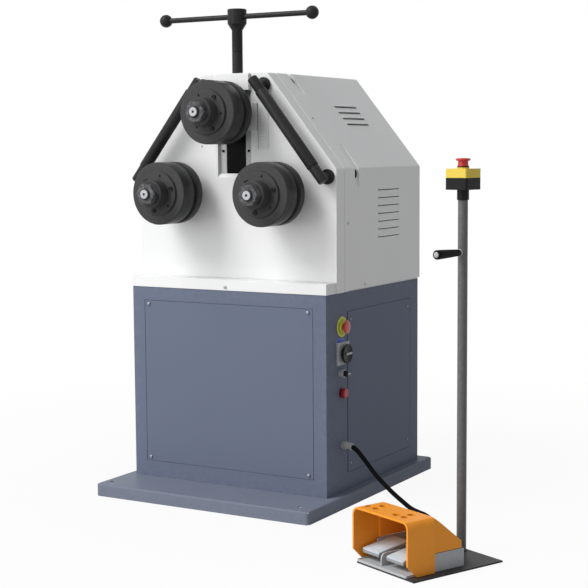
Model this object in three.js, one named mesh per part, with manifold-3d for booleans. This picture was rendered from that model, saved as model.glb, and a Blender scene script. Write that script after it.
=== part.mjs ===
// Three-roller profile bending machine on a plinth, with its free-standing pedal and stop station.
// Millimetres. X to the machine's right, Y to the back, Z up; the origin is on the floor under the plinth.
import * as THREE from "three";
import { mergeVertices } from "three/addons/utils/BufferGeometryUtils.js";
import Module from "manifold-3d";

const wasm = await Module();
wasm.setup();

// Turns and shares have no unit.
const half_share = 0.5;
const right_angle = Math.PI / 2;
const whole_turn = 2 * Math.PI;
const one_degree = Math.PI / 180;

// Fits that many pieces share.
const weld_distance = 0.001;
const running_gap = 0.3;
const journal_gap = 0.4;
const thread_gap = 0.4;
const slide_gap = 0.5;
const cut_margin = 5;
const sheet = 2.5;

// Plinth: a folded tray with a stiffening channel down its middle.
const plinth_width = 741;
const plinth_depth = 827;
const plinth_height = 38;
const plinth_sheet = 3;
const plinth_corner_radius = 12;
const plinth_edge_radius = 6;
const channel_width = 120;
const channel_end_gap = 25;
const anchor_hole_radius = 7;
const anchor_left_inset = 28.7;
const anchor_right_inset = 51.3;
const anchor_front_inset = 44.5;
const anchor_rear_inset = 22.5;

// Cabinet box and its four access panels.
const cabinet_half_width = 339.4;
const cabinet_front_y = -248.5;
const cabinet_rear_y = 366.2;
const cabinet_top_z = 628;
const cabinet_rim = 40;
const panel_side_margin = 44.4;
const panel_half_width = cabinet_half_width - panel_side_margin;
const panel_bottom_z = 88;
const panel_top_z = 586;
const side_panel_front_y = -118;
const side_panel_rear_y = 308;
const side_panel_bottom_z = 90;
const side_panel_top_z = 569;
const panel_seam = 1.2;
const panel_ledge = 12;
const panel_ledge_outside = 8;
const panel_screw_radius = 5;
const panel_screw_height = 1.5;
const front_screw_inset = 15;
const front_screw_x = panel_half_width - front_screw_inset;
const front_screw_low_z = 100;
const front_screw_high_z = 576.5;
const side_screw_front_y = -99.5;
const side_screw_rear_y = 289;
const side_screw_low_z = 115;
const side_screw_high_z = 545;

// Base ring: the skirt and ledge between the cabinet and the upper housing.
const skirt_side_overhang = 2.2;
const skirt_front_overhang = 2.1;
const skirt_height = 32;
const skirt_half_width = cabinet_half_width + skirt_side_overhang;
const skirt_front_y = cabinet_front_y - skirt_front_overhang;
const ledge_z = cabinet_top_z + skirt_height;
const ring_sheet = 3;
const ring_flange = 40;
const hood_strip_rise = 12;
const hood_strip_height = 16;
const hood_strip_low_z = cabinet_top_z + hood_strip_rise;
const hood_strip_high_z = hood_strip_low_z + hood_strip_height;
const hood_strip_front_y = -95;
const hood_strip_rear_y = 350;
const skirt_screw_rise = 9.8;
const skirt_screw_z = cabinet_top_z + skirt_screw_rise;

// Front plate of the housing, with the returns that run back under the hood.
const plate_front_y = -192;
const plate_thickness = 12;
const plate_side_overhang = 5;
const plate_half_width = cabinet_half_width + plate_side_overhang;
const bend_z = 987.3;
const top_half_width = 117;
const housing_top_z = 1267.6;
const bend_radius = 7;
const return_rear_y = -113.6;
const return_step_y = -143;
const return_step = 2.2;
const return_thickness = 4.9;
const ring_half_width = plate_half_width - return_thickness - running_gap;
const slot_half_width = 58.5;
const slot_bottom_z = 973;
const slot_bevel = 11;
const slot_top_z = 1218;

// Slide of the upper shaft. Its cover plate hangs behind the front plate.
const slide_half_width = 33.7;
const slide_front_y = -191;
const slide_top_clearance = 13;
const slide_height = 130;
const slide_top_z = slot_top_z - slide_top_clearance;
const slide_low_z = slide_top_z - slide_height;
const slide_flange_half_width = 52;
const slide_flange_front_y = -143.9;
const slide_flange_rear_y = -128;
const slide_flange_drop = 25;
const slide_flange_low_z = slide_low_z - slide_flange_drop;
const slide_cover_gap = 2;
const slide_cover_thickness = 6;
const slide_cover_half_width = slide_half_width - running_gap;
const slide_cover_front_y = plate_front_y + plate_thickness + slide_cover_gap;
const slide_cover_rear_y = slide_cover_front_y + slide_cover_thickness;
const slide_cover_reach = 23;
const slide_cover_low_z = slot_bottom_z - slide_cover_reach;

// Guide behind the slot: two rails joined by a tie, with a gib strip on each rail.
const guide_half_width = 75;
const guide_inner_half_width = slide_flange_half_width + slide_gap;
const guide_reach = 18;
const guide_low_z = slot_bottom_z - guide_reach;
const guide_tie_gap = 2;
const guide_tie_thickness = 10;
const guide_tie_front_y = slide_flange_rear_y + guide_tie_gap;
const guide_tie_rear_y = guide_tie_front_y + guide_tie_thickness;
const gib_front_y = -181;
const gib_rear_y = slide_flange_front_y - running_gap;
const gib_inner_half_width = slide_half_width + slide_gap;
const gib_bolt_x = 45;
const gib_bolt_radius = 4;
const gib_bolt_height = 2;
const gib_bolt_low_z = 1040;
const gib_bolt_high_z = 1185;

// Bridge block over the slot, which is the nut of the screw.
const bridge_front_y = -203;
const bridge_rear_y = -143.4;
const bridge_half_width = slot_half_width - running_gap;
const screw_y = -169;
const screw_radius = 16;
const screw_seat_depth = 27;
const screw_seat_z = slide_top_z - screw_seat_depth;
const thrust_collar_radius = 22;
const thrust_collar_thickness = 7.7;
const thrust_collar_low_z = slide_top_z + running_gap;
const thrust_collar_high_z = thrust_collar_low_z + thrust_collar_thickness;

// Roller sets. Lengths along a shaft are Y values of the machine.
const lower_shaft_inset = 169;
const lower_shaft_x = plate_half_width - lower_shaft_inset;
const lower_shaft_z = 916.3;
const upper_shaft_drop = 53.3;
const upper_shaft_z = slide_top_z - upper_shaft_drop;
const roller_radius = 92.5;
const roller_front_y = -338.3;
const roller_rear_y = -282.5;
const roller_core_radius = 66;
const back_disc_front_y = -264;
const back_disc_rear_y = -238;
const roller_edge_bevel = 2;
const spigot_radius = 20;
const roller_bore_radius = spigot_radius + running_gap;
const journal_radius = 25;
const shoulder_radius = 36;
const shoulder_rear_y = -202;
const shaft_front_y = -410;
const shaft_thread_rear_y = -350;
const shaft_tip_bevel = 1.5;
const upper_shaft_inset = 2;
const upper_shaft_rear_y = slide_flange_rear_y - upper_shaft_inset;
const flange_radius = 65.5;
const flange_front_y = -345;
const clamp_collar_radius = 41;
const clamp_collar_front_y = -382;
const clamp_screw_circle = 53;
const clamp_screw_count = 3;
const clamp_screw_radius = 6;
const clamp_screw_height = 3.5;
const low_screw_turn = 17 * one_degree;
const top_screw_turn = 55 * one_degree;
const nut_front_y = -403;
const nut_across_flats = 57;
const nut_sides = 6;
const centre_hole_radius = 2.5;
const centre_hole_depth = 6;

// Bearing housings of the lower shafts.
const bearing_cover_radius = 54;
const bearing_cover_front_y = -198;
const bearing_spigot_radius = 49.7;
const bearing_rear_y = -75;
const bearing_hole_radius = bearing_spigot_radius + running_gap;
const bearing_bore_radius = journal_radius + journal_gap;

// Gears of the lower shafts and the pinion between them.
const gear_front_y = -65;
const gear_rear_y = -35;
const gear_shaft_end = 7;
const lower_shaft_rear_y = gear_rear_y + gear_shaft_end;
const gear_teeth = 20;
const pinion_teeth = 12;
const addendum_share = 0.75;
const dedendum_share = 1.1;
const tooth_tip_share = 0.11;
const tooth_root_share = 0.24;
const gear_bore_radius = journal_radius + journal_gap;
const pinion_shaft_radius = 18;
const pinion_shaft_front_y = -80;
const pinion_shaft_rear_y = 22;

// Drive inside the housing: gearbox on a mounting plate, motor hung under it.
const mount_plate_side_gap = 9.4;
const mount_plate_half_width = cabinet_half_width - mount_plate_side_gap;
const mount_plate_front_y = -60;
const mount_plate_rear_y = 230;
const mount_plate_thickness = 10;
const gearbox_half_width = 80;
const gearbox_front_y = 5;
const gearbox_rear_y = 150;
const gearbox_low_z = 826;
const gearbox_high_z = 1000;
const gearbox_boss_radius = 40;
const gearbox_boss_front_y = -4;
const column_half_width = 62;
const column_inset_y = 15;
const motor_y = 78;
const motor_radius = 75;
const motor_low_z = 380;
const motor_flange_half_width = 78;
const motor_flange_thickness = 12;
const terminal_box_depth = 38;
const terminal_box_half_width = 45;
const terminal_box_low_z = 480;
const terminal_box_high_z = 580;

// Electrical plate, which stands on the cabinet floor.
const electric_plate_x = -200;
const electric_plate_front_y = -150;
const electric_plate_rear_y = 250;
const electric_plate_top_z = 480;
const electric_foot = 50;
const device_depth = 70;
const device_low_z = 180;
const device_high_z = 260;
const device_first_y = -110;
const device_width = 70;
const device_pitch = 95;
const device_count = 4;

// Hood with louvres and lifting recesses.
const hood_offset = 1.2;
const hood_sheet = 3;
const hood_front_y = return_step_y;
const hood_rear_overhang = 0.5;
const hood_rear_y = cabinet_rear_y + hood_rear_overhang;
const hood_foot_gap = 4;
const hood_low_z = cabinet_top_z + hood_foot_gap;
const louvre_front_y = 73;
const louvre_rear_y = 215;
const louvre_opening = 5;
const louvre_lip = 3;
const louvre_lip_height = 7;
const side_louvre_low_z = 776.5;
const side_louvre_pitch = 23.7;
const side_louvre_count = 7;
const slope_louvre_first = 167.7;
const slope_louvre_pitch = 23.1;
const slope_louvre_count = 4;
const recess_front_y = -80;
const recess_rear_y = -54;
const recess_up_reach = 92.5;
const recess_down_reach = 62.5;
const recess_floor_depth = 20;
const recess_hole_start = 3;
const recess_hole_end = 32;
const top_recess_reach = 60;
const top_recess_down_reach = 84;
const top_recess_hole_start = 12;
const top_recess_hole_end = 36;
const hood_screw_radius = 4.5;
const hood_screw_height = 1.2;
const hood_screw_front_y = -123.5;
const hood_screw_front_z = 828.6;
const hood_screw_low_y = -16.8;
const hood_screw_low_z = 642.2;

// Screw spindle and T-handle.
const spindle_rise = 127.4;
const seam_drop = 63;
const seam_depth = 0.75;
const hub_neck_height = 17;
const hub_height = 45;
const hub_radius = 28.5;
const hub_bevel = 2;
const bar_rise = 22.7;
const spindle_top_z = housing_top_z + spindle_rise;
const spindle_seam_z = spindle_top_z - seam_drop;
const hub_low_z = spindle_top_z + hub_neck_height;
const hub_high_z = hub_low_z + hub_height;
const bar_z = hub_low_z + bar_rise;
const bar_radius = 8;
const ball_radius = 19.5;
const ball_x = 255;
const ball_rows = 8;

// Scale plate and pointer.
const scale_left_x = 84;
const scale_right_x = 120;
const scale_low_z = 1044;
const scale_high_z = 1180;
const scale_thickness = 1.5;
const pointer_left_x = 66;
const pointer_right_x = 82;
const pointer_rise = 25;
const pointer_height = 80;
const pointer_low_z = slide_low_z + pointer_rise;
const pointer_high_z = pointer_low_z + pointer_height;
const pointer_front_y = -195.5;
const pointer_rear_y = -192.5;
const pointer_arm_left_x = 18;
const pointer_arm_height = 18;
const pointer_pad_right_x = 32;

// Tubular handles along the slopes.
const handle_y = -238;
const handle_radius = 17.75;
const handle_top_inset = 24.9;
const handle_top_drop = 17.9;
const handle_low_inset = 17;
const handle_low_drop = 36.1;
const handle_top_x = top_half_width - handle_top_inset;
const handle_top_z = housing_top_z - handle_top_drop;
const handle_low_x = plate_half_width - handle_low_inset;
const handle_low_z = bend_z - handle_low_drop;
const sleeve_radius = 15.5;
const sleeve_top_length = 46.5;
const sleeve_low_length = 54;
const post_radius = 13;
const post_top_inset = 11.3;
const post_top_drop = 35.2;
const post_low_inset = 27.5;
const post_low_drop = 22.8;
const post_top_x = top_half_width - post_top_inset;
const post_top_z = housing_top_z - post_top_drop;
const post_low_x = plate_half_width - post_low_inset;
const post_low_z = bend_z - post_low_drop;
const post_boss_radius = 22;
const post_boss_length = 8;

// Controls on the right wall of the cabinet.
const stop_y = -153.6;
const stop_z = 528;
const legend_radius = 30;
const legend_thickness = 1.5;
const stop_collar_radius = 15;
const stop_collar_length = 4;
const stop_stem_radius = 5;
const stop_head_radius = 19.7;
const stop_neck_radius = 12;
const stop_travel_room = 4.6;
const stop_head_length = 10.5;
const wall_hole_radius = 11.3;
const device_neck_radius = 11;
const device_nut_radius = 15;
const device_nut_length = 8;
const contact_block_half = 14;
const contact_block_length = 36;
const switch_plate_front_y = -187;
const switch_plate_rear_y = -115.7;
const switch_plate_low_z = 417;
const switch_plate_high_z = 483.5;
const switch_plate_thickness = 5;
const switch_y = -151;
const switch_z = 449.4;
const switch_knob_radius = 29;
const switch_knob_length = 12;
const switch_grip_half_width = 5;
const switch_grip_length = 3.5;
const tag_length = 48;
const tag_rise = 12;
const tag_overlap = 2;
const tag_thickness = 1.2;
const selector_y = -165;
const selector_z = 393;
const selector_barrel_radius = 12;
const selector_barrel_length = 15;
const selector_knob_radius = 9;
const selector_knob_length = 10.5;
const selector_grip_half_width = 1.5;
const selector_grip_length = 6;
const button_y = -155;
const button_z = 333;
const button_ring_radius = 16.5;
const button_ring_length = 2;
const button_cap_radius = 14.8;
const button_cap_length = 11;
const button_travel_room = 2.8;
const gland_y = -152;
const gland_z = 178;
const gland_length = 13;
const gland_radius = 12;
const gland_thread_radius = 8;

// Station: floor plate, pole, grip and stop box.
const station_x = 846;
const station_y = -448;
const station_turn = -24 * one_degree;
const box_turn = 12.5 * one_degree;
const stand_left = -88;
const stand_right = 132;
const stand_front = -276;
const stand_back = 20;
const stand_thickness = 4.5;
const pole_radius = 12.5;
const pole_foot_radius = 15;
const pole_foot_height = 3;
const pole_top_z = 925;
const socket_low_z = 913;
const socket_radius = 15.5;
const socket_bore_radius = pole_radius + running_gap;
const box_half_width = 33;
const box_low_z = 939;
const box_seam_z = 969;
const lid_top_z = 992;
const box_wall = 2.5;
const box_corner = 6;
const lid_ring_radius = 16;
const lid_ring_height = 3;
const station_travel_room = 3;
const station_neck_height = 14;
const station_brim_height = 7;
const station_head_low_z = lid_top_z + lid_ring_height + station_travel_room;
const station_head_brim_z = station_head_low_z + station_neck_height;
const station_head_high_z = station_head_brim_z + station_brim_height;
const station_head_radius = 18.5;
const station_neck_radius = 14;
const station_stem_drop = 7;
const station_stem_low_z = lid_top_z - station_stem_drop;
const station_stem_radius = 5;
const grip_z = 780;
const grip_length = 100;
const grip_small_radius = 6.5;
const grip_large_radius = 12;
const grip_cap_length = 6;
const grip_stem_radius = 4;
const grip_washer_radius = 9;
const grip_washer_start = 11.5;
const grip_washer_end = 15;
const grip_side_gap = 2;
const grip_start = grip_washer_end + grip_side_gap;

// Pedal: guard, base housing and two treadles, in the station's own axes.
const guard_left = -104;
const guard_right = 112;
const guard_front = -278;
const guard_step = -190;
const guard_rear = -98;
const guard_top_z = 145;
const guard_low_z = 5;
const guard_slope_end_z = 71;
const guard_wall = 5.5;
const guard_corner = 20;
const guard_rear_inset = 5;
const guard_chamfer = 30;
const vent_radius = 11;
const vent_left_x = -61;
const vent_right_x = 48;
const vent_spread = 15.5;
const vent_front_y = -246;
const vent_back_y = -218;
const tray_left = -90;
const tray_right = 102;
const tray_front_inset = 2;
const tray_front = guard_front + tray_front_inset;
const tray_sheet = 3.5;
const tray_rim = 3;
const tray_rim_height = 2.5;
const base_side_inset = 9;
const base_left = guard_left + base_side_inset;
const base_right = guard_right - base_side_inset;
const base_front = -205;
const base_rear = -86;
const base_top_z = 52;
const guard_seam = 1;
const guard_rear_low_z = base_top_z + guard_seam;
const base_wall = 4;
const divider_left = -11;
const divider_right = -7;
const divider_front = -262;
const divider_rear = -200;
const divider_top_z = 40;
const divider_round = 14;
const pin_radius = 4;
const pin_y = -165;
const pin_z = 41;
const treadle_width = 64;
const treadle_side_gap = 0.8;
const treadle_left_start = base_left + base_wall + treadle_side_gap;
const treadle_right_start = 4;
const treadle_front = -255;
const treadle_rear = -157;
const treadle_front_low_z = 24;
const treadle_front_high_z = 36;
const treadle_rear_low_z = 33;
const treadle_rear_high_z = 51.5;
const pedal_switch_front = -140;
const pedal_switch_rear = -105;
const pedal_switch_height = 20;
const entry_x = -45;
const entry_z = 26;
const entry_radius = 11;
const entry_length = 10;

// Cable: radius and route of its centre line over the floor.
const cable_radius = 6.75;
const cable_sides = 8;
const cable_steps = 30;

// Numbers of sides, which set how fine the round forms are.
const fine_sides = 20;
const round_sides = 16;
const small_sides = 12;
const screw_sides = 6;
const arc_steps = 3;

// Welds a surface into one closed body.
function bodyFrom(surface) {
  surface.deleteAttribute("normal");
  surface.deleteAttribute("uv");
  const welded = mergeVertices(surface, weld_distance);
  const corners = welded.index.array;
  const kept = [];
  for (let i = 0; i < corners.length; i += 3) {
    const [a, b, c] = [corners[i], corners[i + 1], corners[i + 2]];
    if (a !== b && b !== c && c !== a) kept.push(a, b, c);
  }
  return new wasm.Manifold(
    new wasm.Mesh({
      numProp: 3,
      vertProperties: new Float32Array(welded.attributes.position.array),
      triVerts: new Uint32Array(kept),
    }),
  );
}

// A rectangular block between two corners.
function block(x0, x1, y0, y1, z0, z1) {
  const form = new THREE.BoxGeometry(x1 - x0, y1 - y0, z1 - z0);
  form.translate((x0 + x1) * half_share, (y0 + y1) * half_share, (z0 + z1) * half_share);
  return bodyFrom(form);
}

function extruded(outline, length, holes = []) {
  const shape = new THREE.Shape(outline.map(([a, b]) => new THREE.Vector2(a, b)));
  for (const hole of holes) shape.holes.push(new THREE.Path(hole.map(([a, b]) => new THREE.Vector2(a, b))));
  return new THREE.ExtrudeGeometry(shape, { depth: length, bevelEnabled: false });
}

// An outline of [x, z] pairs, extruded between two Y values.
function alongY(outline, y0, y1, holes) {
  const form = extruded(outline, y1 - y0, holes);
  form.rotateX(right_angle).translate(0, y1, 0);
  return bodyFrom(form);
}

// An outline of [y, z] pairs, extruded between two X values.
function alongX(outline, x0, x1, holes) {
  const form = extruded(outline, x1 - x0, holes);
  form.rotateX(right_angle).rotateZ(right_angle).translate(x0, 0, 0);
  return bodyFrom(form);
}

// An outline of [x, y] pairs, extruded between two Z values.
function alongZ(outline, z0, z1, holes) {
  const form = extruded(outline, z1 - z0, holes);
  form.translate(0, 0, z0);
  return bodyFrom(form);
}

// A turned body: pairs of [radius, place on the axis], from the low end of the axis to the high end.
// A ring's profile is a closed loop that runs the same way round.
function turned(profile, sides) {
  return new THREE.LatheGeometry(
    profile.map(([radius, place]) => new THREE.Vector2(radius, place)),
    sides,
  );
}

function turnedOnY(profile, x, z, sides = fine_sides) {
  return bodyFrom(turned(profile, sides).translate(x, 0, z));
}

function turnedOnZ(profile, x, y, sides = round_sides) {
  return bodyFrom(turned(profile, sides).rotateX(right_angle).translate(x, y, 0));
}

function turnedOnX(profile, y, z, sides = round_sides) {
  return bodyFrom(turned(profile, sides).rotateZ(-right_angle).translate(0, y, z));
}

const rod = (radius, start, end) => [
  [0, start],
  [radius, start],
  [radius, end],
  [0, end],
];

const rodOnX = (radius, x0, x1, y, z, sides = round_sides) => turnedOnX(rod(radius, x0, x1), y, z, sides);
const rodOnY = (radius, y0, y1, x, z, sides = fine_sides) => turnedOnY(rod(radius, y0, y1), x, z, sides);
const rodOnZ = (radius, z0, z1, x, y, sides = round_sides) => turnedOnZ(rod(radius, z0, z1), x, y, sides);

// A round bar between any two points.
function barBetween(start, end, radius, sides = round_sides) {
  const from = new THREE.Vector3(...start);
  const to = new THREE.Vector3(...end);
  const line = to.clone().sub(from);
  const form = new THREE.CylinderGeometry(radius, radius, line.length(), sides);
  const middle = from.clone().add(to).multiplyScalar(half_share);
  const turn = new THREE.Quaternion().setFromUnitVectors(new THREE.Vector3(0, 1, 0), line.normalize());
  form.applyQuaternion(turn).translate(middle.x, middle.y, middle.z);
  return bodyFrom(form);
}

const joined = (bodies) => bodies.reduce((whole, next) => whole.add(next));
const cut = (body, tools) => tools.reduce((whole, next) => whole.subtract(next), body);

// Both copies of a body that sits to the right: the body and its mirror image to the left.
const bothSides = (body) => body.add(body.mirror([1, 0, 0]));

// The outline with each corner rounded by its own radius.
function rounded(outline, radii, steps = arc_steps) {
  const points = [];
  const count = outline.length;
  for (let i = 0; i < count; i += 1) {
    const corner = new THREE.Vector2(...outline[i]);
    const before = new THREE.Vector2(...outline[(i + count - 1) % count]).sub(corner).normalize();
    const after = new THREE.Vector2(...outline[(i + 1) % count]).sub(corner).normalize();
    const radius = Array.isArray(radii) ? radii[i] : radii;
    if (radius === 0) {
      points.push([corner.x, corner.y]);
      continue;
    }
    const opening = Math.acos(before.dot(after));
    const reach = radius / Math.tan(opening * half_share);
    const inward = before.clone().add(after).normalize();
    const centre = corner.clone().addScaledVector(inward, radius / Math.sin(opening * half_share));
    const first = corner.clone().addScaledVector(before, reach).sub(centre);
    const last = corner.clone().addScaledVector(after, reach).sub(centre);
    const sweep = Math.atan2(first.x * last.y - first.y * last.x, first.dot(last));
    for (let k = 0; k <= steps; k += 1) {
      const spoke = first.clone().rotateAround(new THREE.Vector2(), (sweep * k) / steps);
      points.push([centre.x + spoke.x, centre.y + spoke.y]);
    }
  }
  return points;
}

const rectangle = (a0, a1, b0, b1) => [
  [a0, b0],
  [a1, b0],
  [a1, b1],
  [a0, b1],
];

function ringOf(count, radius, a, b, start = 0) {
  const points = [];
  for (let i = 0; i < count; i += 1) {
    const angle = start + (whole_turn * i) / count;
    points.push([a + radius * Math.cos(angle), b + radius * Math.sin(angle)]);
  }
  return points;
}

// Stacks convex loops of equal count, each with its height, into one body.
function stacked(loops) {
  const count = loops[0].points.length;
  const places = [];
  const faces = [];
  for (const loop of loops) for (const [x, y] of loop.points) places.push(x, y, loop.z);
  for (let level = 0; level + 1 < loops.length; level += 1) {
    for (let i = 0; i < count; i += 1) {
      const next = (i + 1) % count;
      const a = level * count + i;
      const b = level * count + next;
      const c = (level + 1) * count + next;
      const d = (level + 1) * count + i;
      faces.push(a, b, c, a, c, d);
    }
  }
  const top = (loops.length - 1) * count;
  for (let i = 1; i + 1 < count; i += 1) faces.push(0, i + 1, i, top, top + i, top + i + 1);
  const surface = new THREE.BufferGeometry();
  surface.setAttribute("position", new THREE.Float32BufferAttribute(places, 3));
  surface.setIndex(faces);
  return bodyFrom(surface);
}

const paint = (color, roughness = 0.5, metalness = 0.1) =>
  new THREE.MeshStandardMaterial({ color, roughness, metalness });

const cabinet_paint = paint(0x70778a);
const plinth_paint = paint(0x6a7183);
const housing_paint = paint(0xe6e8ea, 0.45);
const roller_steel = paint(0x3c3d40, 0.4, 0.8);
const bright_steel = paint(0xd0d2d4, 0.25, 0.9);
const black_steel = paint(0x16171a, 0.5, 0.6);
const grey_steel = paint(0x8a8d90, 0.4, 0.8);
const gunmetal = paint(0x3a3c40, 0.35, 0.8);
const black_plastic = paint(0x17181a, 0.45, 0);
const grey_plastic = paint(0x9a9da0, 0.5, 0);
const red_plastic = paint(0xb3151b, 0.4, 0);
const yellow_plastic = paint(0xe8c51c, 0.45, 0);
const orange_plastic = paint(0xe8831e, 0.45, 0);
const light_plastic = paint(0xc4c8cb, 0.5, 0);
const gearbox_paint = paint(0x4c5a68, 0.5, 0.2);
const motor_paint = paint(0x2f4d6a, 0.5, 0.2);

const machine = new THREE.Group();
const station = new THREE.Group();
station.name = "station";
station.position.set(station_x, station_y, 0);
station.rotation.z = station_turn;
machine.add(station);

// Adds one named piece to a group.
function addPiece(group, name, body, material) {
  const solid = body.getMesh();
  const surface = new THREE.BufferGeometry();
  surface.setAttribute("position", new THREE.BufferAttribute(solid.vertProperties, 3));
  surface.setIndex(new THREE.BufferAttribute(solid.triVerts, 1));
  surface.computeVertexNormals();
  const mesh = new THREE.Mesh(surface, material);
  mesh.name = name;
  group.add(mesh);
}

function plinthTray() {
  const loopAt = (inset, z) => ({
    points: rounded(
      rectangle(
        inset - plinth_width * half_share,
        plinth_width * half_share - inset,
        inset - plinth_depth * half_share,
        plinth_depth * half_share - inset,
      ),
      plinth_corner_radius - inset * half_share,
    ),
    z,
  });
  const loops = [loopAt(0, 0)];
  const edge_steps = 3;
  for (let i = 0; i <= edge_steps; i += 1) {
    const angle = (right_angle * i) / edge_steps;
    loops.push(
      loopAt(
        plinth_edge_radius * (1 - Math.cos(angle)),
        plinth_height - plinth_edge_radius * (1 - Math.sin(angle)),
      ),
    );
  }
  const inner_x = plinth_width * half_share - plinth_sheet;
  const inner_y = plinth_depth * half_share - plinth_sheet;
  const under = plinth_height - plinth_sheet;
  const hollow = block(-inner_x, inner_x, -inner_y, inner_y, -cut_margin, under);
  const channel_half = channel_width * half_share;
  const channel_y = inner_y - channel_end_gap;
  const channel = cut(block(-channel_half, channel_half, -channel_y, channel_y, 0, under), [
    block(
      plinth_sheet - channel_half,
      channel_half - plinth_sheet,
      -channel_y - cut_margin,
      channel_y + cut_margin,
      plinth_sheet,
      plinth_height,
    ),
  ]);
  const holes = [];
  const half_width = plinth_width * half_share;
  const half_depth = plinth_depth * half_share;
  for (const x of [anchor_left_inset - half_width, half_width - anchor_right_inset])
    for (const y of [anchor_front_inset - half_depth, half_depth - anchor_rear_inset])
      holes.push(
        rodOnZ(anchor_hole_radius, under - cut_margin, plinth_height + cut_margin, x, y, small_sides),
      );
  return cut(stacked(loops), [hollow, ...holes]).add(channel);
}

// The step an access panel sits in: a ring of sheet behind the wall, then the opening itself.
// Here u runs across the wall and w is the depth behind its outer face.
function panelSeat(makeBlock, u0, u1, z0, z1) {
  const ring = makeBlock(
    u0 - panel_ledge_outside,
    u1 + panel_ledge_outside,
    sheet * half_share,
    sheet + sheet,
    z0 - panel_ledge_outside,
    z1 + panel_ledge_outside,
  );
  const pocket = makeBlock(
    u0 - panel_seam,
    u1 + panel_seam,
    -cut_margin,
    sheet,
    z0 - panel_seam,
    z1 + panel_seam,
  );
  const opening = makeBlock(
    u0 + panel_ledge,
    u1 - panel_ledge,
    0,
    sheet + cut_margin,
    z0 + panel_ledge,
    z1 - panel_ledge,
  );
  return { ring, cuts: [pocket, opening] };
}

const onFrontWall = (u0, u1, w0, w1, z0, z1) =>
  block(u0, u1, cabinet_front_y + w0, cabinet_front_y + w1, z0, z1);
const onRearWall = (u0, u1, w0, w1, z0, z1) =>
  block(u0, u1, cabinet_rear_y - w1, cabinet_rear_y - w0, z0, z1);
const onRightWall = (u0, u1, w0, w1, z0, z1) =>
  block(cabinet_half_width - w1, cabinet_half_width - w0, u0, u1, z0, z1);
const onLeftWall = (u0, u1, w0, w1, z0, z1) =>
  block(w0 - cabinet_half_width, w1 - cabinet_half_width, u0, u1, z0, z1);

function cabinetShell() {
  const w = cabinet_half_width;
  const outer = block(-w, w, cabinet_front_y, cabinet_rear_y, plinth_height, cabinet_top_z);
  const hollow = block(
    sheet - w,
    w - sheet,
    cabinet_front_y + sheet,
    cabinet_rear_y - sheet,
    plinth_height + sheet,
    cabinet_top_z - sheet,
  );
  const mouth = block(
    cabinet_rim - w,
    w - cabinet_rim,
    cabinet_front_y + cabinet_rim,
    cabinet_rear_y - cabinet_rim,
    cabinet_top_z - sheet - cut_margin,
    cabinet_top_z + cut_margin,
  );
  const seats = [
    panelSeat(onFrontWall, -panel_half_width, panel_half_width, panel_bottom_z, panel_top_z),
    panelSeat(onRearWall, -panel_half_width, panel_half_width, panel_bottom_z, panel_top_z),
    panelSeat(onRightWall, side_panel_front_y, side_panel_rear_y, side_panel_bottom_z, side_panel_top_z),
    panelSeat(onLeftWall, side_panel_front_y, side_panel_rear_y, side_panel_bottom_z, side_panel_top_z),
  ];
  let shell = cut(outer, [hollow, mouth]);
  for (const seat of seats) shell = cut(shell.add(seat.ring), seat.cuts);
  const throughWall = (radius, y, z) =>
    rodOnX(radius, w - sheet - cut_margin, w + cut_margin, y, z, small_sides);
  return cut(shell, [
    throughWall(wall_hole_radius, stop_y, stop_z),
    throughWall(wall_hole_radius, switch_y, switch_z),
    throughWall(wall_hole_radius, selector_y, selector_z),
    throughWall(wall_hole_radius, button_y, button_z),
    throughWall(gland_thread_radius + running_gap, gland_y, gland_z),
  ]);
}

// Front and rear panels; the outward direction is -1 for the front and 1 for the rear.
function widePanel(wall, face_y, outward) {
  const bodies = [wall(-panel_half_width, panel_half_width, 0, sheet, panel_bottom_z, panel_top_z)];
  for (const x of [-front_screw_x, front_screw_x])
    for (const z of [front_screw_low_z, front_screw_high_z]) {
      const root_y = face_y - outward * sheet * half_share;
      const ends = [root_y, face_y + outward * panel_screw_height].sort((a, b) => a - b);
      bodies.push(rodOnY(panel_screw_radius, ends[0], ends[1], x, z, screw_sides));
    }
  return joined(bodies);
}

function sidePanel() {
  const bodies = [
    onRightWall(side_panel_front_y, side_panel_rear_y, 0, sheet, side_panel_bottom_z, side_panel_top_z),
  ];
  for (const y of [side_screw_front_y, side_screw_rear_y])
    for (const z of [side_screw_low_z, side_screw_high_z])
      bodies.push(
        rodOnX(
          panel_screw_radius,
          cabinet_half_width - sheet * half_share,
          cabinet_half_width + panel_screw_height,
          y,
          z,
          screw_sides,
        ),
      );
  return joined(bodies);
}

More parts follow.
